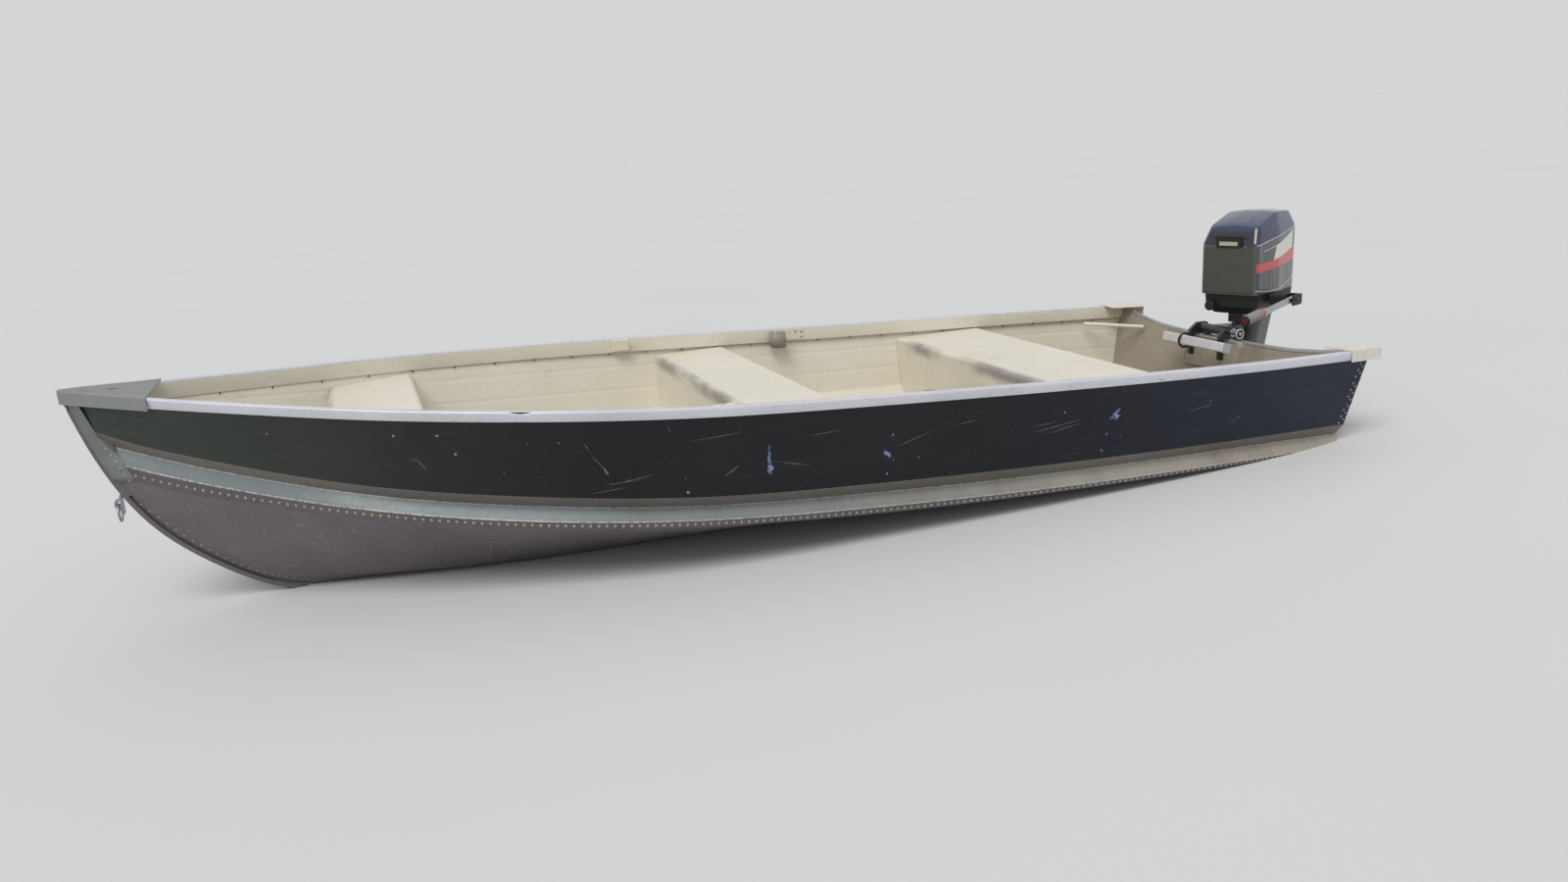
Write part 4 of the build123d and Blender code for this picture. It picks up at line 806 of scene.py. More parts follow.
def build_gunwales():
    """Rail extrusion: a rounded hook section set off from the gunwale line, its outer lip leaning
    with the side. A Gaussian along the rail presses the dent into its outer top corner."""
    out, inn, wall = PLAY + GUNWALE_WALL, -GUNWALE_WIDTH, GUNWALE_WALL
    section = rounded([
        (out, -GUNWALE_LIP, 0.0009), (out, 0, 0.0075), (inn, 0, 0.006), (inn, -GUNWALE_FLANGE, 0.0009),
        (inn + wall, -GUNWALE_FLANGE, 0.0009), (inn + wall, -wall, 0.0034), (PLAY, -wall, 0.0045),
        (PLAY, -GUNWALE_LIP, 0.0009)], 5)
    line, paint = LINES[GUNWALE], LINES[PAINT]
    lean = (line[:, 0] - paint[:, 0]) / (line[:, 1] - paint[:, 1])
    rows = []
    for a, b in section:
        drop = lean * max(0.0, -b - wall) * (a > 0)
        rows.append(np.stack([line[:, 0] + a - drop, line[:, 1] + b], -1))
    grid = trimmed(rows, GUNWALE_COLUMNS, TRANSOM_SHEET + PLAY, GUNWALE_END)
    cream = (section[:, 0] < inn + wall + 0.001) & (section[:, 1] < -CREAM_BELOW)
    for hand, way in HANDS:
        rings = (grid * (1, way, 1)).transpose(1, 0, 2)
        if hand == "port":
            pressed = np.exp(-((rings[..., 0] - DENT_X) / DENT_LENGTH) ** 2) * (section[:, 0] > -DENT_REACH)
            rings[..., 2] -= DENT_DEPTH * pressed * (section[:, 1] > -DENT_BELOW)
            rings[..., 1] -= 0.5 * DENT_DEPTH * pressed
        piece = tube_piece("gunwale_rail_" + hand, afloat(rings), [rail_metal, inside_paint], "hull",
                           way > 0)
        spans = np.tile(cream, len(rings) - 1).tolist() + [False, False]
        piece.data.polygons.foreach_set("material_index", np.array(spans, int))
        crisp_edges(piece, 40)
        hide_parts("gunwale_" + hand)


def domes(name, points, normals, radius, material, height=0.35):
    """Low rivet heads on the hull: each is rings of eight points whose radius falls as the cosine and
    whose height grows as the sine of an angle, closed by one point at the crown."""
    normals = normals / np.linalg.norm(normals, axis=1, keepdims=True)
    side = np.cross(normals, np.where(np.abs(normals[:, :1]) < 0.8, (1.0, 0, 0), (0, 1.0, 0)))
    side /= np.linalg.norm(side, axis=1, keepdims=True)
    other = np.cross(normals, side)
    k = np.arange(8)
    turn = k * math.pi / 4
    round_it = np.cos(turn)[:, None] * side[:, None] + np.sin(turn)[:, None] * other[:, None]
    rings = []
    for angle in (0.0, 0.7, 1.2):
        rise = (math.sin(angle) * height - RIVET_SINK) * radius
        rings.append(points[:, None] + round_it * radius * math.cos(angle) + normals[:, None] * rise)
    crown = points + normals * radius * (height - RIVET_SINK)
    block = np.concatenate(rings + [crown[:, None]], 1)
    following = (k + 1) % 8
    faces = []
    for ring in (0, 8):
        faces += np.stack([ring + k, ring + following, ring + 8 + following, ring + 8 + k], -1).tolist()
    faces += np.stack([16 + k, 16 + following, np.full(8, 24)], -1).tolist()
    joined = [[25 * n + v for v in face] for n in range(len(points)) for face in faces]
    piece = mesh_piece(name, afloat(block), joined, [material], "hull")


def both_sides(points, normals):
    return np.concatenate([points, starboard(points)]), np.concatenate([normals, starboard(normals)])


def rivet_rows():
    """Rows of rivets on the outside of the hull: the spray rail's flange, the transom's edge in a
    zigzag, the stem, and across the bottom under each frame and bench."""
    spots = [on_side(EDGE, FOOT, np.arange(*FLANGE_SPAN, RIVET_SPACING), 0.6)]
    high, low = [on_line(pair, np.array([ZIGZAG_X]))[0, 2] for pair in (GUNWALE, PAINT)]
    for k, share in enumerate(np.linspace(0.04, 0.97, ZIGZAG_COUNT)):
        x = transom_x(high * (1 - share) + low * share, ZIGZAG_AHEAD[k % 2])
        spots.append(on_side(GUNWALE, PAINT, np.array([x]), share))
    points, normals = both_sides(*[np.concatenate(parts) for parts in zip(*spots)])
    domes("side_rivets", points, normals, SIDE_RIVET, rivet_metal)

    x = np.linspace(*KNEE_SPAN, KNEE_COUNT)
    foot, strake, keel = on_line(FOOT, x), on_line(STRAKE, x), on_line(KEEL, x)
    length = np.linalg.norm(strake - keel, axis=1)
    low = (STEM_ROW / length)[:, None]
    over = ((STEM_ROW - length) / np.linalg.norm(foot - strake, axis=1))[:, None]
    points = np.where(low <= 1, keel + (strake - keel) * low, strake + (foot - strake) * over)
    across = np.where(low <= 1, keel - strake, strake - foot)
    spots = [(points, np.cross(np.gradient(points, axis=0), across))]
    for x in FRAME_X:
        station = np.array([x])
        for pair, below, step in ((FOOT, STRAKE, 0.1), (STRAKE, KEEL, 0.14)):
            shares = np.arange(0.08, 0.99, step)[:, None]
            high, low = on_line(pair, station), on_line(below, station)
            normal = np.cross(np.array((1.0, 0, 0)), low[0] - high[0])
            spots.append((high * (1 - shares) + low * shares, np.tile(normal, (len(shares), 1))))
    points, normals = both_sides(*[np.concatenate(parts) for parts in zip(*spots)])
    domes("bottom_rivets", points, normals, BOTTOM_RIVET, rivet_metal)


def inner_rivets():
    """Rivets on the rails' inner flanges, and a small dark pin that hangs below each flange there as the
    rivet's painted shadow.
    """
    line = on_line(GUNWALE, np.arange(*RAIL_SPAN, PIN_SPACING))
    flange = line - np.array((0, GUNWALE_WIDTH, 0))
    inner = flange - np.array((0, 0, GUNWALE_FLANGE - 0.006))
    points, normals = both_sides(inner, np.tile((0.0, -1.0, 0.0), (len(line), 1)))
    domes("rail_rivets", points, normals, RAIL_RIVET, inside_paint, 0.5)
    corners = np.stack([flange + np.array((ahead, out, height - GUNWALE_FLANGE))
                        for ahead in PIN_ENDS for height in PIN_HEIGHTS for out in PIN_FACES], 1)
    corners = np.concatenate([corners, starboard(corners)])
    cube = [(0, 1, 3, 2), (4, 6, 7, 5), (0, 4, 5, 1), (2, 3, 7, 6), (1, 5, 7, 3), (0, 2, 6, 4)]
    faces = [[8 * n + v for v in face] for n in range(len(corners)) for face in cube]
    pin_shadows = mesh_piece("rail_pin_shadows", afloat(corners), faces, [pin_shadow_and_rivet_metal], "hull", smooth=False)


def transom_top(y):
    """Height of the transom's top edge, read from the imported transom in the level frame."""
    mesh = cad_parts["transom"].data
    spots = np.empty(len(mesh.vertices) * 3)
    mesh.vertices.foreach_get("co", spots)
    x, side, z = spots.reshape(-1, 3).T
    level = -x * math.sin(TRIM) + z * math.cos(TRIM)
    high = level > EDGE_FROM
    order = np.argsort(side[high])
    return np.interp(y, side[high][order], level[high][order])


def build_transom_trim():
    """Folded strip over the transom's top edge: a U section carried along the edge's own curve."""
    y = np.linspace(-TRIM_END_Y, TRIM_END_Y, TRIM_POINTS)
    z = transom_top(y)
    slope = np.gradient(z, y)
    ahead = np.array((math.cos(TRANSOM_RAKE), 0, math.sin(TRANSOM_RAKE)))
    lift = np.array((-math.sin(TRANSOM_RAKE), 0, math.cos(TRANSOM_RAKE)))
    up = lift[None] - slope[:, None] * np.array((0, 1.0, 0))
    up /= np.linalg.norm(up, axis=1, keepdims=True)
    middle = np.stack([transom_x(z, TRANSOM_SHEET / 2), y, z], -1)
    inner = TRANSOM_SHEET / 2 + TRIM_GAP
    outer = inner + TRIM_WALL
    top = PLAY + TRIM_WALL
    section = rounded([
        (outer, -TRIM_DEPTH, 0.0004), (outer, top, 0.0012), (-outer, top, 0.0012),
        (-outer, -TRIM_DEPTH, 0.0004), (-inner, -TRIM_DEPTH, 0.0004), (-inner, PLAY, 0.0004),
        (inner, PLAY, 0.0004), (inner, -TRIM_DEPTH, 0.0004)], 3)
    rings = middle[:, None] + section[None, :, :1] * ahead + section[None, :, 1:] * up[:, None]
    piece = tube_piece("transom_trim", afloat(rings), [trim_metal], "hull", True)


def stem_line(z):
    """X of the stem's front line at a height, in straight runs between its points."""
    return np.interp(z, *np.array(STEM_POINTS).T[::-1])


def build_stem_band():
    """Strip down each side of the stem: straight across from the stem bar's flank to the side sheet,
    and a millimetre and a half off it, with a row of rivets along the strip."""
    top = LINES[GUNWALE] - np.array((0.0, GUNWALE_LIP + STEM_DROP))
    rows = strips([top, LINES[PAINT], LINES[FACET], LINES[EDGE], LINES[FOOT]], STEM_ROWS)
    bow = DENSE_X[-BOW_COUNT:]
    share = np.array((0.0, 0.04, 0.35, 0.7, 0.97, 1.0))[:, None]
    grid = []
    for row in rows:
        height = row[-BOW_COUNT:, 1]
        back = np.interp(0.0, bow - stem_line(height) + np.interp(height, *STEM_BAND), bow)
        y, z = [np.interp(back, DENSE_X, values) for values in row.T]
        front = np.array((stem_line(z) + STEM_AHEAD, STEM_HALF, z))
        rear = np.array((back, max(y + STEM_OFF, STEM_HALF), z))
        grid.append(front * (1 - share) + rear * share)
    grid = np.array(grid)
    for hand, way in HANDS:
        points = afloat(grid[:, ::-1] * (1, way, 1))
        piece = sheet_piece("stem_band_" + hand, points, [stem_metal], "hull", way < 0, STEM_WALL)
    middle = grid[:, 3]
    down = np.concatenate([[0], np.cumsum(np.linalg.norm(np.diff(middle, axis=0), axis=1))])
    stops = np.arange(STEM_RIVETS_FROM, down[-1], RIVET_SPACING)
    normals = np.cross(grid[:, 2] - grid[:, 4], np.gradient(middle, axis=0))
    spots, normals = [np.stack([np.interp(stops, down, column) for column in values.T], -1)
                      for values in (middle, normals)]
    points, normals = both_sides(spots, normals)
    domes("stem_rivets", points, normals, STEM_RIVET, rivet_metal)


def build_rowlock_plates():
    """Rowlock sockets on the rails' inner flanges: a round cup, open towards the rail, and beside it a
    plate with three rivets. a runs ahead along the rail, b up, and depth inboard."""
    turn = np.linspace(-0.42 * math.pi, 1.42 * math.pi, 26)
    circle = np.stack([np.cos(turn), np.sin(turn)], -1)
    outer, inner = [np.array(CUP_CENTRE) + radius * circle for radius in CUP_RADII]
    cup = np.concatenate([outer, inner[::-1]])
    for hand, way in HANDS:
        line, ahead = on_line(GUNWALE, np.array([ROWLOCK_PLATE_X, ROWLOCK_PLATE_X + 0.1]))
        along = (ahead - line) / np.linalg.norm(ahead - line)
        inward = np.cross(along, (0, 0, 1.0))
        inward *= -np.sign(inward[1])
        face = line - np.array((0, GUNWALE_WIDTH, 0))

        def put(rings, face=face, along=along, inward=inward, way=way):
            a, b, depth = [rings[..., k, None] for k in range(3)]
            return (face + a * along + b * np.array((0, 0, 1.0)) + depth * inward) * (1, way, 1)

        slab("rowlock_plate_" + hand, box_outline(ROWLOCK_PLATE, 0.008), PLATE_WALL, put, inside_paint,
             "hull")
        rings = np.stack([with_depth(cup, height) for height in CUP_HEIGHTS])[..., (0, 2, 1)]
        piece = tube_piece("rowlock_cup_" + hand, afloat(put(rings)), [socket_metal], "hull")
        weld(piece)
        normals = np.tile(inward * (1, way, 1), (3, 1))
        domes("rowlock_rivets_" + hand, put(with_depth(ROWLOCK_RIVETS, PLATE_WALL)), normals, SOCKET_RIVET,
              pin_shadow_and_rivet_metal, 0.5)


build_skin()
build_gunwales()
rivet_rows()
inner_rivets()
build_transom_trim()
build_stem_band()
build_rowlock_plates()


# The motor. Its own frame has its origin on the steering axis at the tilt tube's height, and X ahead.

STEER_AXIS = (-2.208, -0.045, 0.386)
STEER_REST = math.radians(22.0)
TILT_TUBE = (-2.092, -0.045, 0.386)
COWL_FRONT, COWL_SPLIT, COWL_SHOULDER = 0.102, 0.151, 0.357
COWL_PLAN = ((0.0, 0.124, 0.026), (-0.170, 0.134, 0.2), (-0.350, 0.116, 0.09), (-0.425, 0.060, 0.05))
ROOF_LEAN = (0.50, 0.26)
# Height of the shoulder beside the hood, as stations and heights. It is level on the front, and over
# FACING_LENGTH from FACING_X the one passes into the other.
FACING_X, FACING_LENGTH, SHOULDER_RISE = 0.06, 0.03, ((-0.32, 0.10), (0.424, COWL_SHOULDER))
SHOULDER_BEND, LIP_BEND, CROWN_RISE = 0.010, 0.007, 0.004
# The crown's middle points: the lip's, drawn together by this share, moved aft, and kept off both ends
SPINE_SHARE, SPINE_AFT, SPINE_ENDS = 0.96, 0.004, (0.012, 0.010)
# Heights of the crown along the middle plane
CROWN_X = (-0.30, -0.22, -0.128, -0.03, 0.044, 0.1)
CROWN_Z = (0.4635, 0.4755, 0.480, 0.464, 0.434, 0.408)
# X of the front panel's edge, behind which the stripe and the lines start
PANEL_EDGE = 0.0945
# The hood's stripe and lines: three points (x, z) of each
COWL_LINES = {
    "stripe foot": ((0.096, 0.244), (-0.014, 0.250), (-0.204, 0.268)),
    "stripe top": ((0.096, 0.279), (-0.014, 0.284), (-0.204, 0.320)),
    "upper": ((0.100, 0.354), (-0.110, 0.388), (-0.320, 0.422)),
    "middle": ((0.052, 0.327), (-0.050, 0.345), (-0.170, 0.378)),
    "lower": ((0.096, 0.170), (-0.072, 0.160), (-0.221, 0.190))}
LINE_WIDTH = 0.0036
PATCH_START, PATCH_END, PATCH_SLANT = -0.028, -0.215, 0.35


def motor_axes(tree):
    """The motor's own x, y and z of a shading point: trim and steering undone, axis at the origin."""
    level = node(tree, "VectorRotate", {"Vector": place(tree), "Axis": (0, 1, 0), "Angle": TRIM})
    inputs = {"Vector": level, "Center": STEER_AXIS, "Axis": (0, 0, 1), "Angle": -STEER_REST}
    ahead = node(tree, "VectorRotate", inputs)
    return split(node(tree, "VectorMath", {0: ahead, 1: STEER_AXIS}, operation="SUBTRACT"))


def height_line(x, points):
    """Height of the parabola through three points (x, z)."""
    a, b, c = np.polyfit(*zip(*points), 2).tolist()
    return (x * a + b) * x + c


def cowl_material():
    """Hood: navy gloss roof, painted lighter and bluer on top as a painted sky sheen and darker on the
    front slope as painted shade; streaked dark sides with a red stripe, thin pale lines and a bare white
    patch, each between two parabolas of the hood's length."""
    material, tree, sockets = new_material("cowl finish", (24, 28, 44), 0.3, 0.0, 0.9)
    x, y, z = motor_axes(tree)
    cloud = use(tree, MOTTLE, Scale=9.0, Fine=90.0, Contrast=1.4)
    streaks = between(noise(tree, 60.0, 4.0, (1, 1, 0.06)), 0.45, 0.8)
    # The front slope below the lip is painted darker as painted shade, and the roof above it lighter and
    # bluer as a painted sky sheen, over one navy paint.
    slope = (1.0 - above(z, 0.408, 0.004)) * above(x, 0.04, 0.02) * between(abs(y), 0.119, 0.108)
    roof_sheen_and_shade = mixed(cloud, (20, 30, 60), (38, 54, 98))
    roof_sheen_and_shade = mixed(slope, roof_sheen_and_shade, mixed(cloud, (10, 12, 22), (20, 24, 38)))
    side = mixed(cloud, (36, 38, 42), (60, 63, 68))
    side = mixed(streaks * 0.55, side, (142, 148, 156))
    lines = {name: height_line(x, points) for name, points in COWL_LINES.items()}
    wall = 1.0 - above(z, lines["upper"])
    colour = mixed(wall, roof_sheen_and_shade, side)
    beside = 1.0 - above(x, PANEL_EDGE)
    over_stripe = above(z, lines["stripe top"])
    stripe = above(z, lines["stripe foot"]) * (1.0 - over_stripe) * beside
    colour = mixed(stripe, colour, mixed(cloud, (196, 48, 44), (214, 70, 60)))
    slanted = x + (z - lines["stripe top"]) * PATCH_SLANT
    patch = (over_stripe * (1.0 - above(slanted, PATCH_START)) * above(x, PATCH_END)
             * (1.0 - above(z, lines["middle"])))
    colour = mixed(patch, colour, mixed(cloud, (214, 212, 200), (232, 230, 220)))
    pinned = 0.0
    for name, start in (("upper", 1.0), ("middle", 0.052), ("lower", 0.096)):
        near = 1.0 - above(abs(z - lines[name]), LINE_WIDTH / 2, 0.0005)
        pinned = (near * (1.0 - above(x, start)) * beside).math("MAXIMUM", pinned)
    colour = mixed(pinned * 0.85, colour, (200, 202, 204))
    scratched = use(tree, SCRATCHES, Scale=9.0, Width=0.006, Cover=0.5)
    colour = mixed(scratched * 0.5, colour, (140, 142, 148))
    feed(tree, sockets, {"Base Color": colour, "Normal": bump(cloud, 0.0004),
                         "Roughness": between(wall, 0.0, 1.0, 0.12, 0.33) + cloud * 0.08})
    return material


def in_motor(points):
    """Points in the motor's own frame carried to the level frame as it is steered at rest."""
    points = np.asarray(points, float)
    cos, sin = math.cos(STEER_REST), math.sin(STEER_REST)
    x, y, z = np.moveaxis(points, -1, 0)
    out = np.stack([x * cos - y * sin, x * sin + y * cos, z], -1)
    return out + np.array(STEER_AXIS)


def cowl_plan(ahead, side, rear):
    """Outline of the hood from above, set in by its own distances; every outline has the same points."""
    length = -COWL_PLAN[-1][0]
    widest = max(row[1] for row in COWL_PLAN)
    along, across = (length - ahead - rear) / length, (widest - side) / widest
    half = [(COWL_FRONT - ahead + x * along, width * across, radius * across)
            for x, width, radius in COWL_PLAN]
    corners = half + [(x, -width, radius) for x, width, radius in half[::-1]]
    return rounded(corners, 9)


def crown_height(x):
    """Height of the hood's top along its length: the quartic that comes nearest to its points."""
    return np.polyval(np.polyfit(CROWN_X, CROWN_Z, 4), np.clip(x, -0.33, 0.1))


def bend(before, corner, after, size, count=5):
    """Quadratic curve round a corner, starting and ending a given distance from it."""
    start = corner + (before - corner) / np.linalg.norm(before - corner, axis=-1, keepdims=True) * size
    end = corner + (after - corner) / np.linalg.norm(after - corner, axis=-1, keepdims=True) * size
    t = np.linspace(0, 1, count)[:, None, None]
    return (1 - t) ** 2 * start + 2 * t * (1 - t) * corner + t ** 2 * end


def build_cowl():
    """Hood as a stack of outlines: upright wall, slope from shoulder to lip, and a crown domed across
    to a line of points in the middle plane. The wall and the lip are joined by rounded bends."""
    wall = cowl_plan(0, 0, 0)
    facing = np.clip((wall[:, 0] - FACING_X) / FACING_LENGTH, 0, 1)
    beside = np.interp(wall[:, 0], *SHOULDER_RISE)
    lip = wall
    for _ in range(3):
        rise = crown_height(lip[:, 0]) - COWL_SHOULDER
        lip = np.array([cowl_plan(r * ROOF_LEAN[0], r * ROOF_LEAN[1], r * ROOF_LEAN[1])[k]
                        for k, r in enumerate(rise)])
    foot = with_depth(wall, COWL_SPLIT)
    corner = with_depth(wall, COWL_SHOULDER * facing + (1 - facing) * beside)
    top = with_depth(lip, crown_height(lip[:, 0]))
    spine_x = np.clip(lip[:, 0] * SPINE_SHARE - SPINE_AFT, lip[:, 0].min() + SPINE_ENDS[0],
                      lip[:, 0].max() - SPINE_ENDS[1])
    spine = np.stack([spine_x, np.zeros(len(lip)), crown_height(spine_x) + CROWN_RISE], -1)
    inner_foot = foot * np.array((0.97, 0.97, 1)) + np.array((0, 0, 0.004))
    rows = [inner_foot, foot, *bend(foot, corner, top, SHOULDER_BEND), *bend(corner, top, spine, LIP_BEND)]
    near = rows[-1]
    for share in (0.25, 0.5, 0.75, 1.0):
        row = near * (1 - share) + spine * share
        row[:, 2] += CROWN_RISE * math.sin(math.pi * share / 2) * (share < 1)
        rows.append(row)
    grid = np.array(rows)
    faces = grid_faces(*grid.shape[:2], around=True)
    piece = mesh_piece("cowl_hood", afloat(in_motor(grid)), faces, [cowl_material()], "motor")
    weld(piece)
    crisp_edges(piece, 38)
    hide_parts("upper_cowl")


def on_front(ahead):
    """Places a plate flat on the motor's front: a runs to port, b up, depth ahead."""
    def put(rings):
        a, b, depth = np.moveaxis(rings, -1, 0)
        return in_motor(np.stack([COWL_FRONT + ahead + depth, a, b], -1))
    return put


def steered(direction):
    return in_motor(direction) - np.array(STEER_AXIS)


def level_centre(name):
    """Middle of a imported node's box, in the level frame."""
    low, high = [np.array(corner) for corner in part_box(name)]
    x, y, z = (low + high) / 2
    return (x * math.cos(TRIM) + z * math.sin(TRIM), y, -x * math.sin(TRIM) + z * math.cos(TRIM))


# Plates on the motor's front: name, box (a0, a1, b0, b1), its corners' radius, thickness, distance ahead
# of the hood, bevel, material and slot
FRONT_PLATES = (
    ("cowl_front_panel", (-0.110, 0.110, 0.158, 0.347), 0.008, 0.0045, -0.0015, 0.0012, panel_plastic,
     "cowl_gloss"),
    ("cowl_panel_sill", (-0.112, 0.112, 0.1505, 0.1565), 0.002, 0.003, -0.001, 0.0006, panel_plastic,
     "cowl_gloss"),
    ("pull_surround", (-0.070, 0.070, 0.334, 0.391), 0.012, 0.012, -0.022, 0.0012, black_plastic,
     "black_plastic"),
    ("pull_label", (-0.040, 0.040, 0.354, 0.370), 0.003, 0.0016, 0.0058, 0.0005, label_plate,
     "black_plastic"))
# Tiller: the start of its arm in the motor's frame, its length and its angle below the level
TILLER_START, TILLER_LENGTH, TILLER_DOWN = (-0.020, 0.215, 0.126), 0.390, math.radians(5.0)
# Turned pieces at the grip: name, distance back from its end, material, and profile (radius, height)
GRIP_PIECES = (
    ("grip_end_cap", 0.004, black_plastic, ((0.0205, 0.0), (0.0205, 0.0045), (0.019, 0.006),
                                            (0.014, 0.006), (0.0135, 0.0045), (0.0135, 0.003))),
    ("grip_end_button", 0.003, red_button, ((0.0132, 0.0), (0.0132, 0.0035), (0.012, 0.0048),
                                            (0.004, 0.0052))),
    ("throttle_ring", 0.132, red_ring, ((0.0195, 0.0), (0.0212, 0.0015), (0.0212, 0.0085),
                                        (0.0195, 0.010))))
# The tilt tube's ends: half its length, how far a thread reaches beyond on each hand, and the profiles
TUBE_HALF = 0.108
THREADS = (0.030, 0.0)
THREAD_RADIUS = 0.0105
TUBE_CAP = ((0.0150, -0.002), (0.0165, 0.000), (0.0165, 0.009), (0.0150, 0.011), (0.010, 0.011),
            (0.010, 0.007))
TUBE_NUT = ((0.0085, 0.0), (0.0085, 0.006), (0.0065, 0.0075), (0.0020, 0.0078))
NUT_OUT, NUT_SIDES = 0.006, 12
# Rings at the tube's ends: distance out from its cap's foot, radius and rod
TUBE_RING_OUT, TUBE_RING_RADIUS, TUBE_RING_ROD = 0.009, 0.0185, 0.0026
# Loop on the lock bar: its centre from the bar's middle, its axis, radius and rod, and its height as a
# share of its width
LOOP_PLACE, LOOP_AXIS = (0, -0.072, -0.001), (0.2, 1.0, 0)
LOOP_RADIUS, LOOP_ROD, LOOP_TALL = 0.0265, 0.0046, 1.12


def build_motor_details():
    """Front panel, pull surround and its bare label, the grip's rings and button, the loop on the lock
    bar, and the caps, rings and nuts at the tilt tube's ends."""
    for name, box, radius, thick, ahead, bevel, material, slot in FRONT_PLATES:
        slab(name, box_outline(box, radius), thick, on_front(ahead), material, "motor", bevel)

    along = np.array((math.cos(TILLER_DOWN), 0.0, -math.sin(TILLER_DOWN)))
    tip = TILLER_START + TILLER_LENGTH * along
    for name, back, material, profile in GRIP_PIECES:
        turned_piece(name, in_motor(tip - back * along), steered(along), profile, material, "motor")

    loop = level_centre("lock_bar") + np.array(LOOP_PLACE)
    ring_piece("bar_loop", loop, LOOP_AXIS, LOOP_RADIUS, LOOP_ROD, black_plastic, LOOP_TALL)
    for (name, way), reach in zip(HANDS, THREADS):
        out = np.array((0, way, 0))
        end = np.array(TILT_TUBE) + TUBE_HALF * out
        if reach:
            turned_piece("tilt_thread", end, out, ((THREAD_RADIUS, -0.002), (THREAD_RADIUS, reach)),
                         galvanised, "hull")
        end = end + reach * out
        turned_piece("tilt_cap_" + name, end, out, TUBE_CAP, black_plastic, "hull")
        ring_piece("tilt_ring_" + name, end + TUBE_RING_OUT * out, (0, 1.0, 0), TUBE_RING_RADIUS,
                   TUBE_RING_ROD, cap_white)
        turned_piece("tilt_nut_" + name, end + NUT_OUT * out, out, TUBE_NUT, bright_steel, "hull",
                     NUT_SIDES)


build_cowl()
build_motor_details()


# Stage, light and camera

# Radius of the floor, and where its rings lie between the waterline (0) and the rim (1). The floor's
# inner edge lies inside the sheets by FLOOR_LAP, and FLOOR_END keeps it off the stem and the transom.
FLOOR_RADIUS = 80.0
FLOOR_RINGS = (0, 0.004, 0.03, 0.2, 1.0)
FLOOR_LAP, FLOOR_END, STERN_POINTS = 0.0015, 0.002, 9


def waterline():
    """Closed outline of the hull at the water plane, inside its sheets, in the row frame."""
    names = (GUNWALE, PAINT, FACET, EDGE, FOOT, STRAKE, KEEL)
    level = -DENSE_X * math.tan(TRIM)
    y = np.full(len(DENSE_X), np.nan)
    for upper, lower in zip(names, names[1:]):
        (ya, za), (yb, zb) = LINES[upper].T, LINES[lower].T
        crosses = (za >= level) & (zb < level) & np.isnan(y)
        share = (za - level) / np.where(za == zb, 1, za - zb)
        y = np.where(crosses, ya + (yb - ya) * share, y)
    inside = ~np.isnan(y) & (y > FLOOR_END) & (DENSE_X > transom_x(level) + FLOOR_END)
    x, y = DENSE_X[inside] / math.cos(TRIM), y[inside] - FLOOR_LAP
    port = np.stack([x, y], -1)
    stern = np.stack([np.full(STERN_POINTS, x[0]), np.linspace(-y[0], y[0], STERN_POINTS)], -1)[1:-1]
    bow = np.array([(x[-1] + FLOOR_END, 0.0)])
    return np.concatenate([stern, port, bow, port[::-1] * (1, -1)])


def build_floor():
    """Flat ring from the waterline outline to a wide circle, so the open hull shows its own bottom."""
    outline = waterline()
    angle = np.arctan2(outline[:, 1], outline[:, 0])
    far = np.stack([np.cos(angle), np.sin(angle)], -1) * FLOOR_RADIUS
    points = np.array([with_depth(outline * (1 - share) + far * share, 0.0) for share in FLOOR_RINGS])
    faces = grid_faces(*points.shape[:2], around=True, flip=True)
    floor = mesh_piece("floor", points, faces, [floor_material()], None, smooth=False)


def floor_material():
    material, tree, sockets = new_material("pale floor", (214, 215, 216), 0.75)
    cloud = between(noise(tree, 0.4, 2.0), 0.3, 0.7)
    feed(tree, sockets, {"Base Color": mixed(cloud, (213, 214, 215), (216, 217, 218))})
    return material


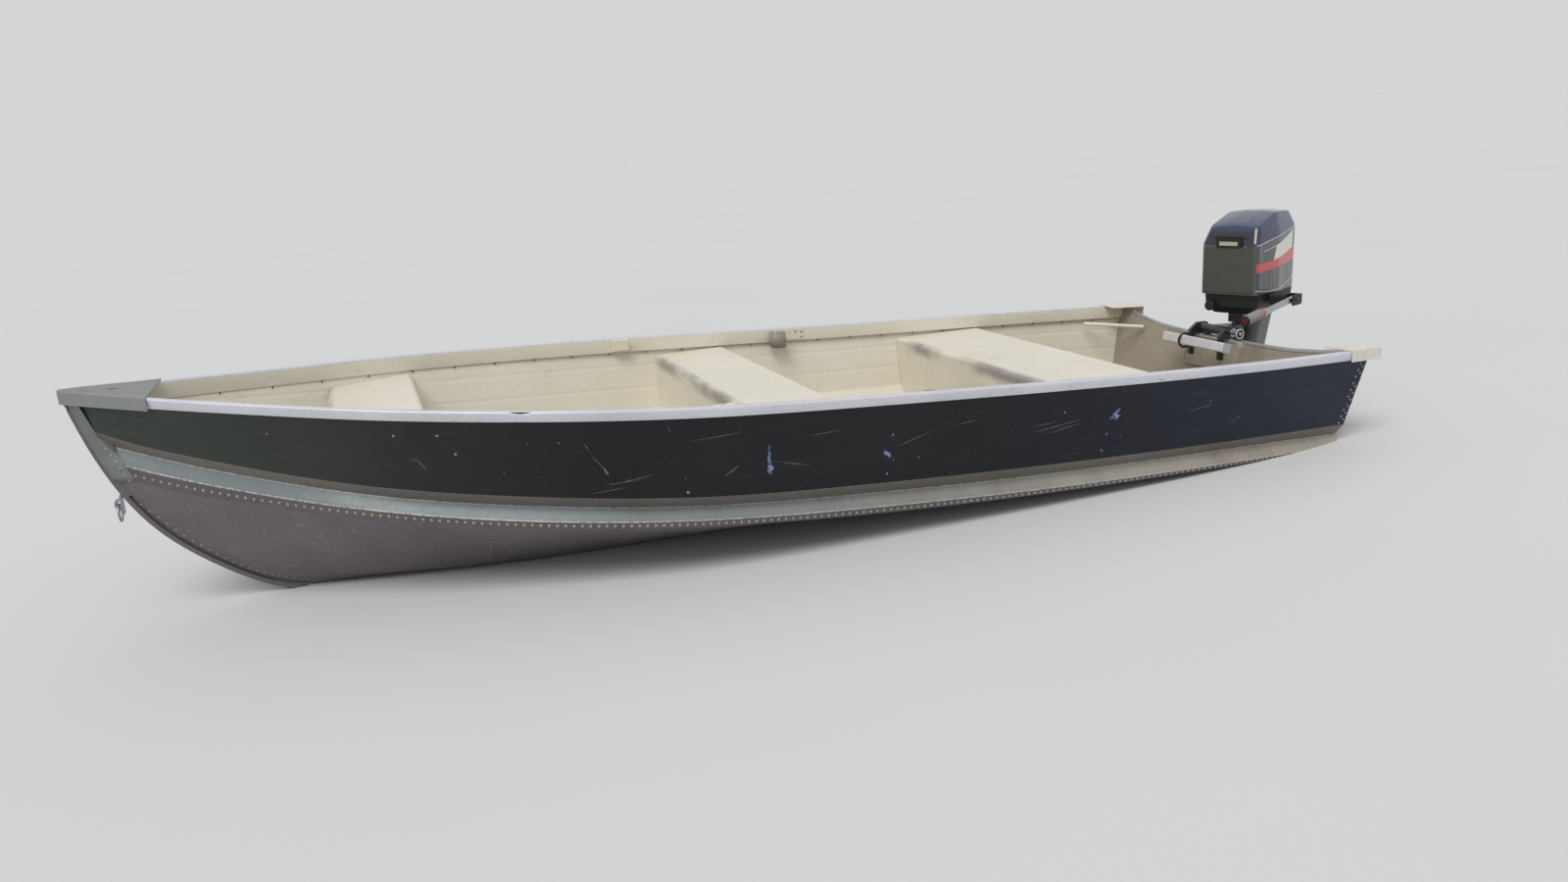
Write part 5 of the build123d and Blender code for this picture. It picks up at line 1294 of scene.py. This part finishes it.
def build_light():
    """A pale even world, paler where it is seen or mirrored, and one broad lamp from above."""
    world = bpy.data.worlds.new("studio")
    bpy.context.scene.world = world
    world.use_nodes = True
    tree = world.node_tree
    camera, glossy, through = [node(tree, "LightPath", output=f"Is {kind} Ray")
                               for kind in ("Camera", "Glossy", "Transmission")]
    seen = camera.math("MAXIMUM", glossy.math("MAXIMUM", through))
    light = tree.nodes["Background"]
    feed(tree, light.inputs, {"Color": (0.93, 0.96, 1.0, 1), "Strength": 0.55})
    shown = node(tree, "Background", {"Color": (0.66, 0.67, 0.68, 1), "Strength": 1.0})
    joined = node(tree, "MixShader", {0: seen, 1: Output(tree, light.outputs[0]), 2: shown})
    feed(tree, tree.nodes["World Output"].inputs, {"Surface": joined})
    lamp = bpy.data.lights.new("broad lamp", "SUN")
    lamp.energy, lamp.angle, lamp.color = 1.7, math.radians(35), (1.0, 0.965, 0.9)
    holder = bpy.data.objects.new("broad lamp", lamp)
    holder.rotation_euler = Vector((0.45, 0.5, 1.0)).to_track_quat("Z", "Y").to_euler()
    bpy.context.scene.collection.objects.link(holder)


def build_camera():
    """The photograph's camera: yaw about the vertical, pitch down, then roll about its own axis."""
    yaw, pitch, roll = [math.radians(angle) for angle in (CAMERA_YAW, CAMERA_PITCH, CAMERA_ROLL)]
    ahead = Vector((-math.sin(yaw) * math.cos(pitch), -math.cos(yaw) * math.cos(pitch), -math.sin(pitch)))
    level = ahead.cross(Vector((0, 0, 1))).normalized()
    upright = level.cross(ahead)
    right = math.cos(roll) * level + math.sin(roll) * upright
    up = -math.sin(roll) * level + math.cos(roll) * upright
    data = bpy.data.cameras.new("camera")
    data.sensor_width, data.lens = SENSOR, SENSOR * CAMERA_FOCAL / PHOTO_WIDTH
    camera = bpy.data.objects.new("camera", data)
    bpy.context.scene.collection.objects.link(camera)
    turn = Matrix((right, up, -ahead)).transposed()
    camera.matrix_world = Matrix.Translation(CAMERA_PLACE) @ turn.to_4x4()
    bpy.context.scene.camera = camera


build_floor()
build_light()
build_camera()
bpy.context.scene.view_settings.view_transform = "Standard"
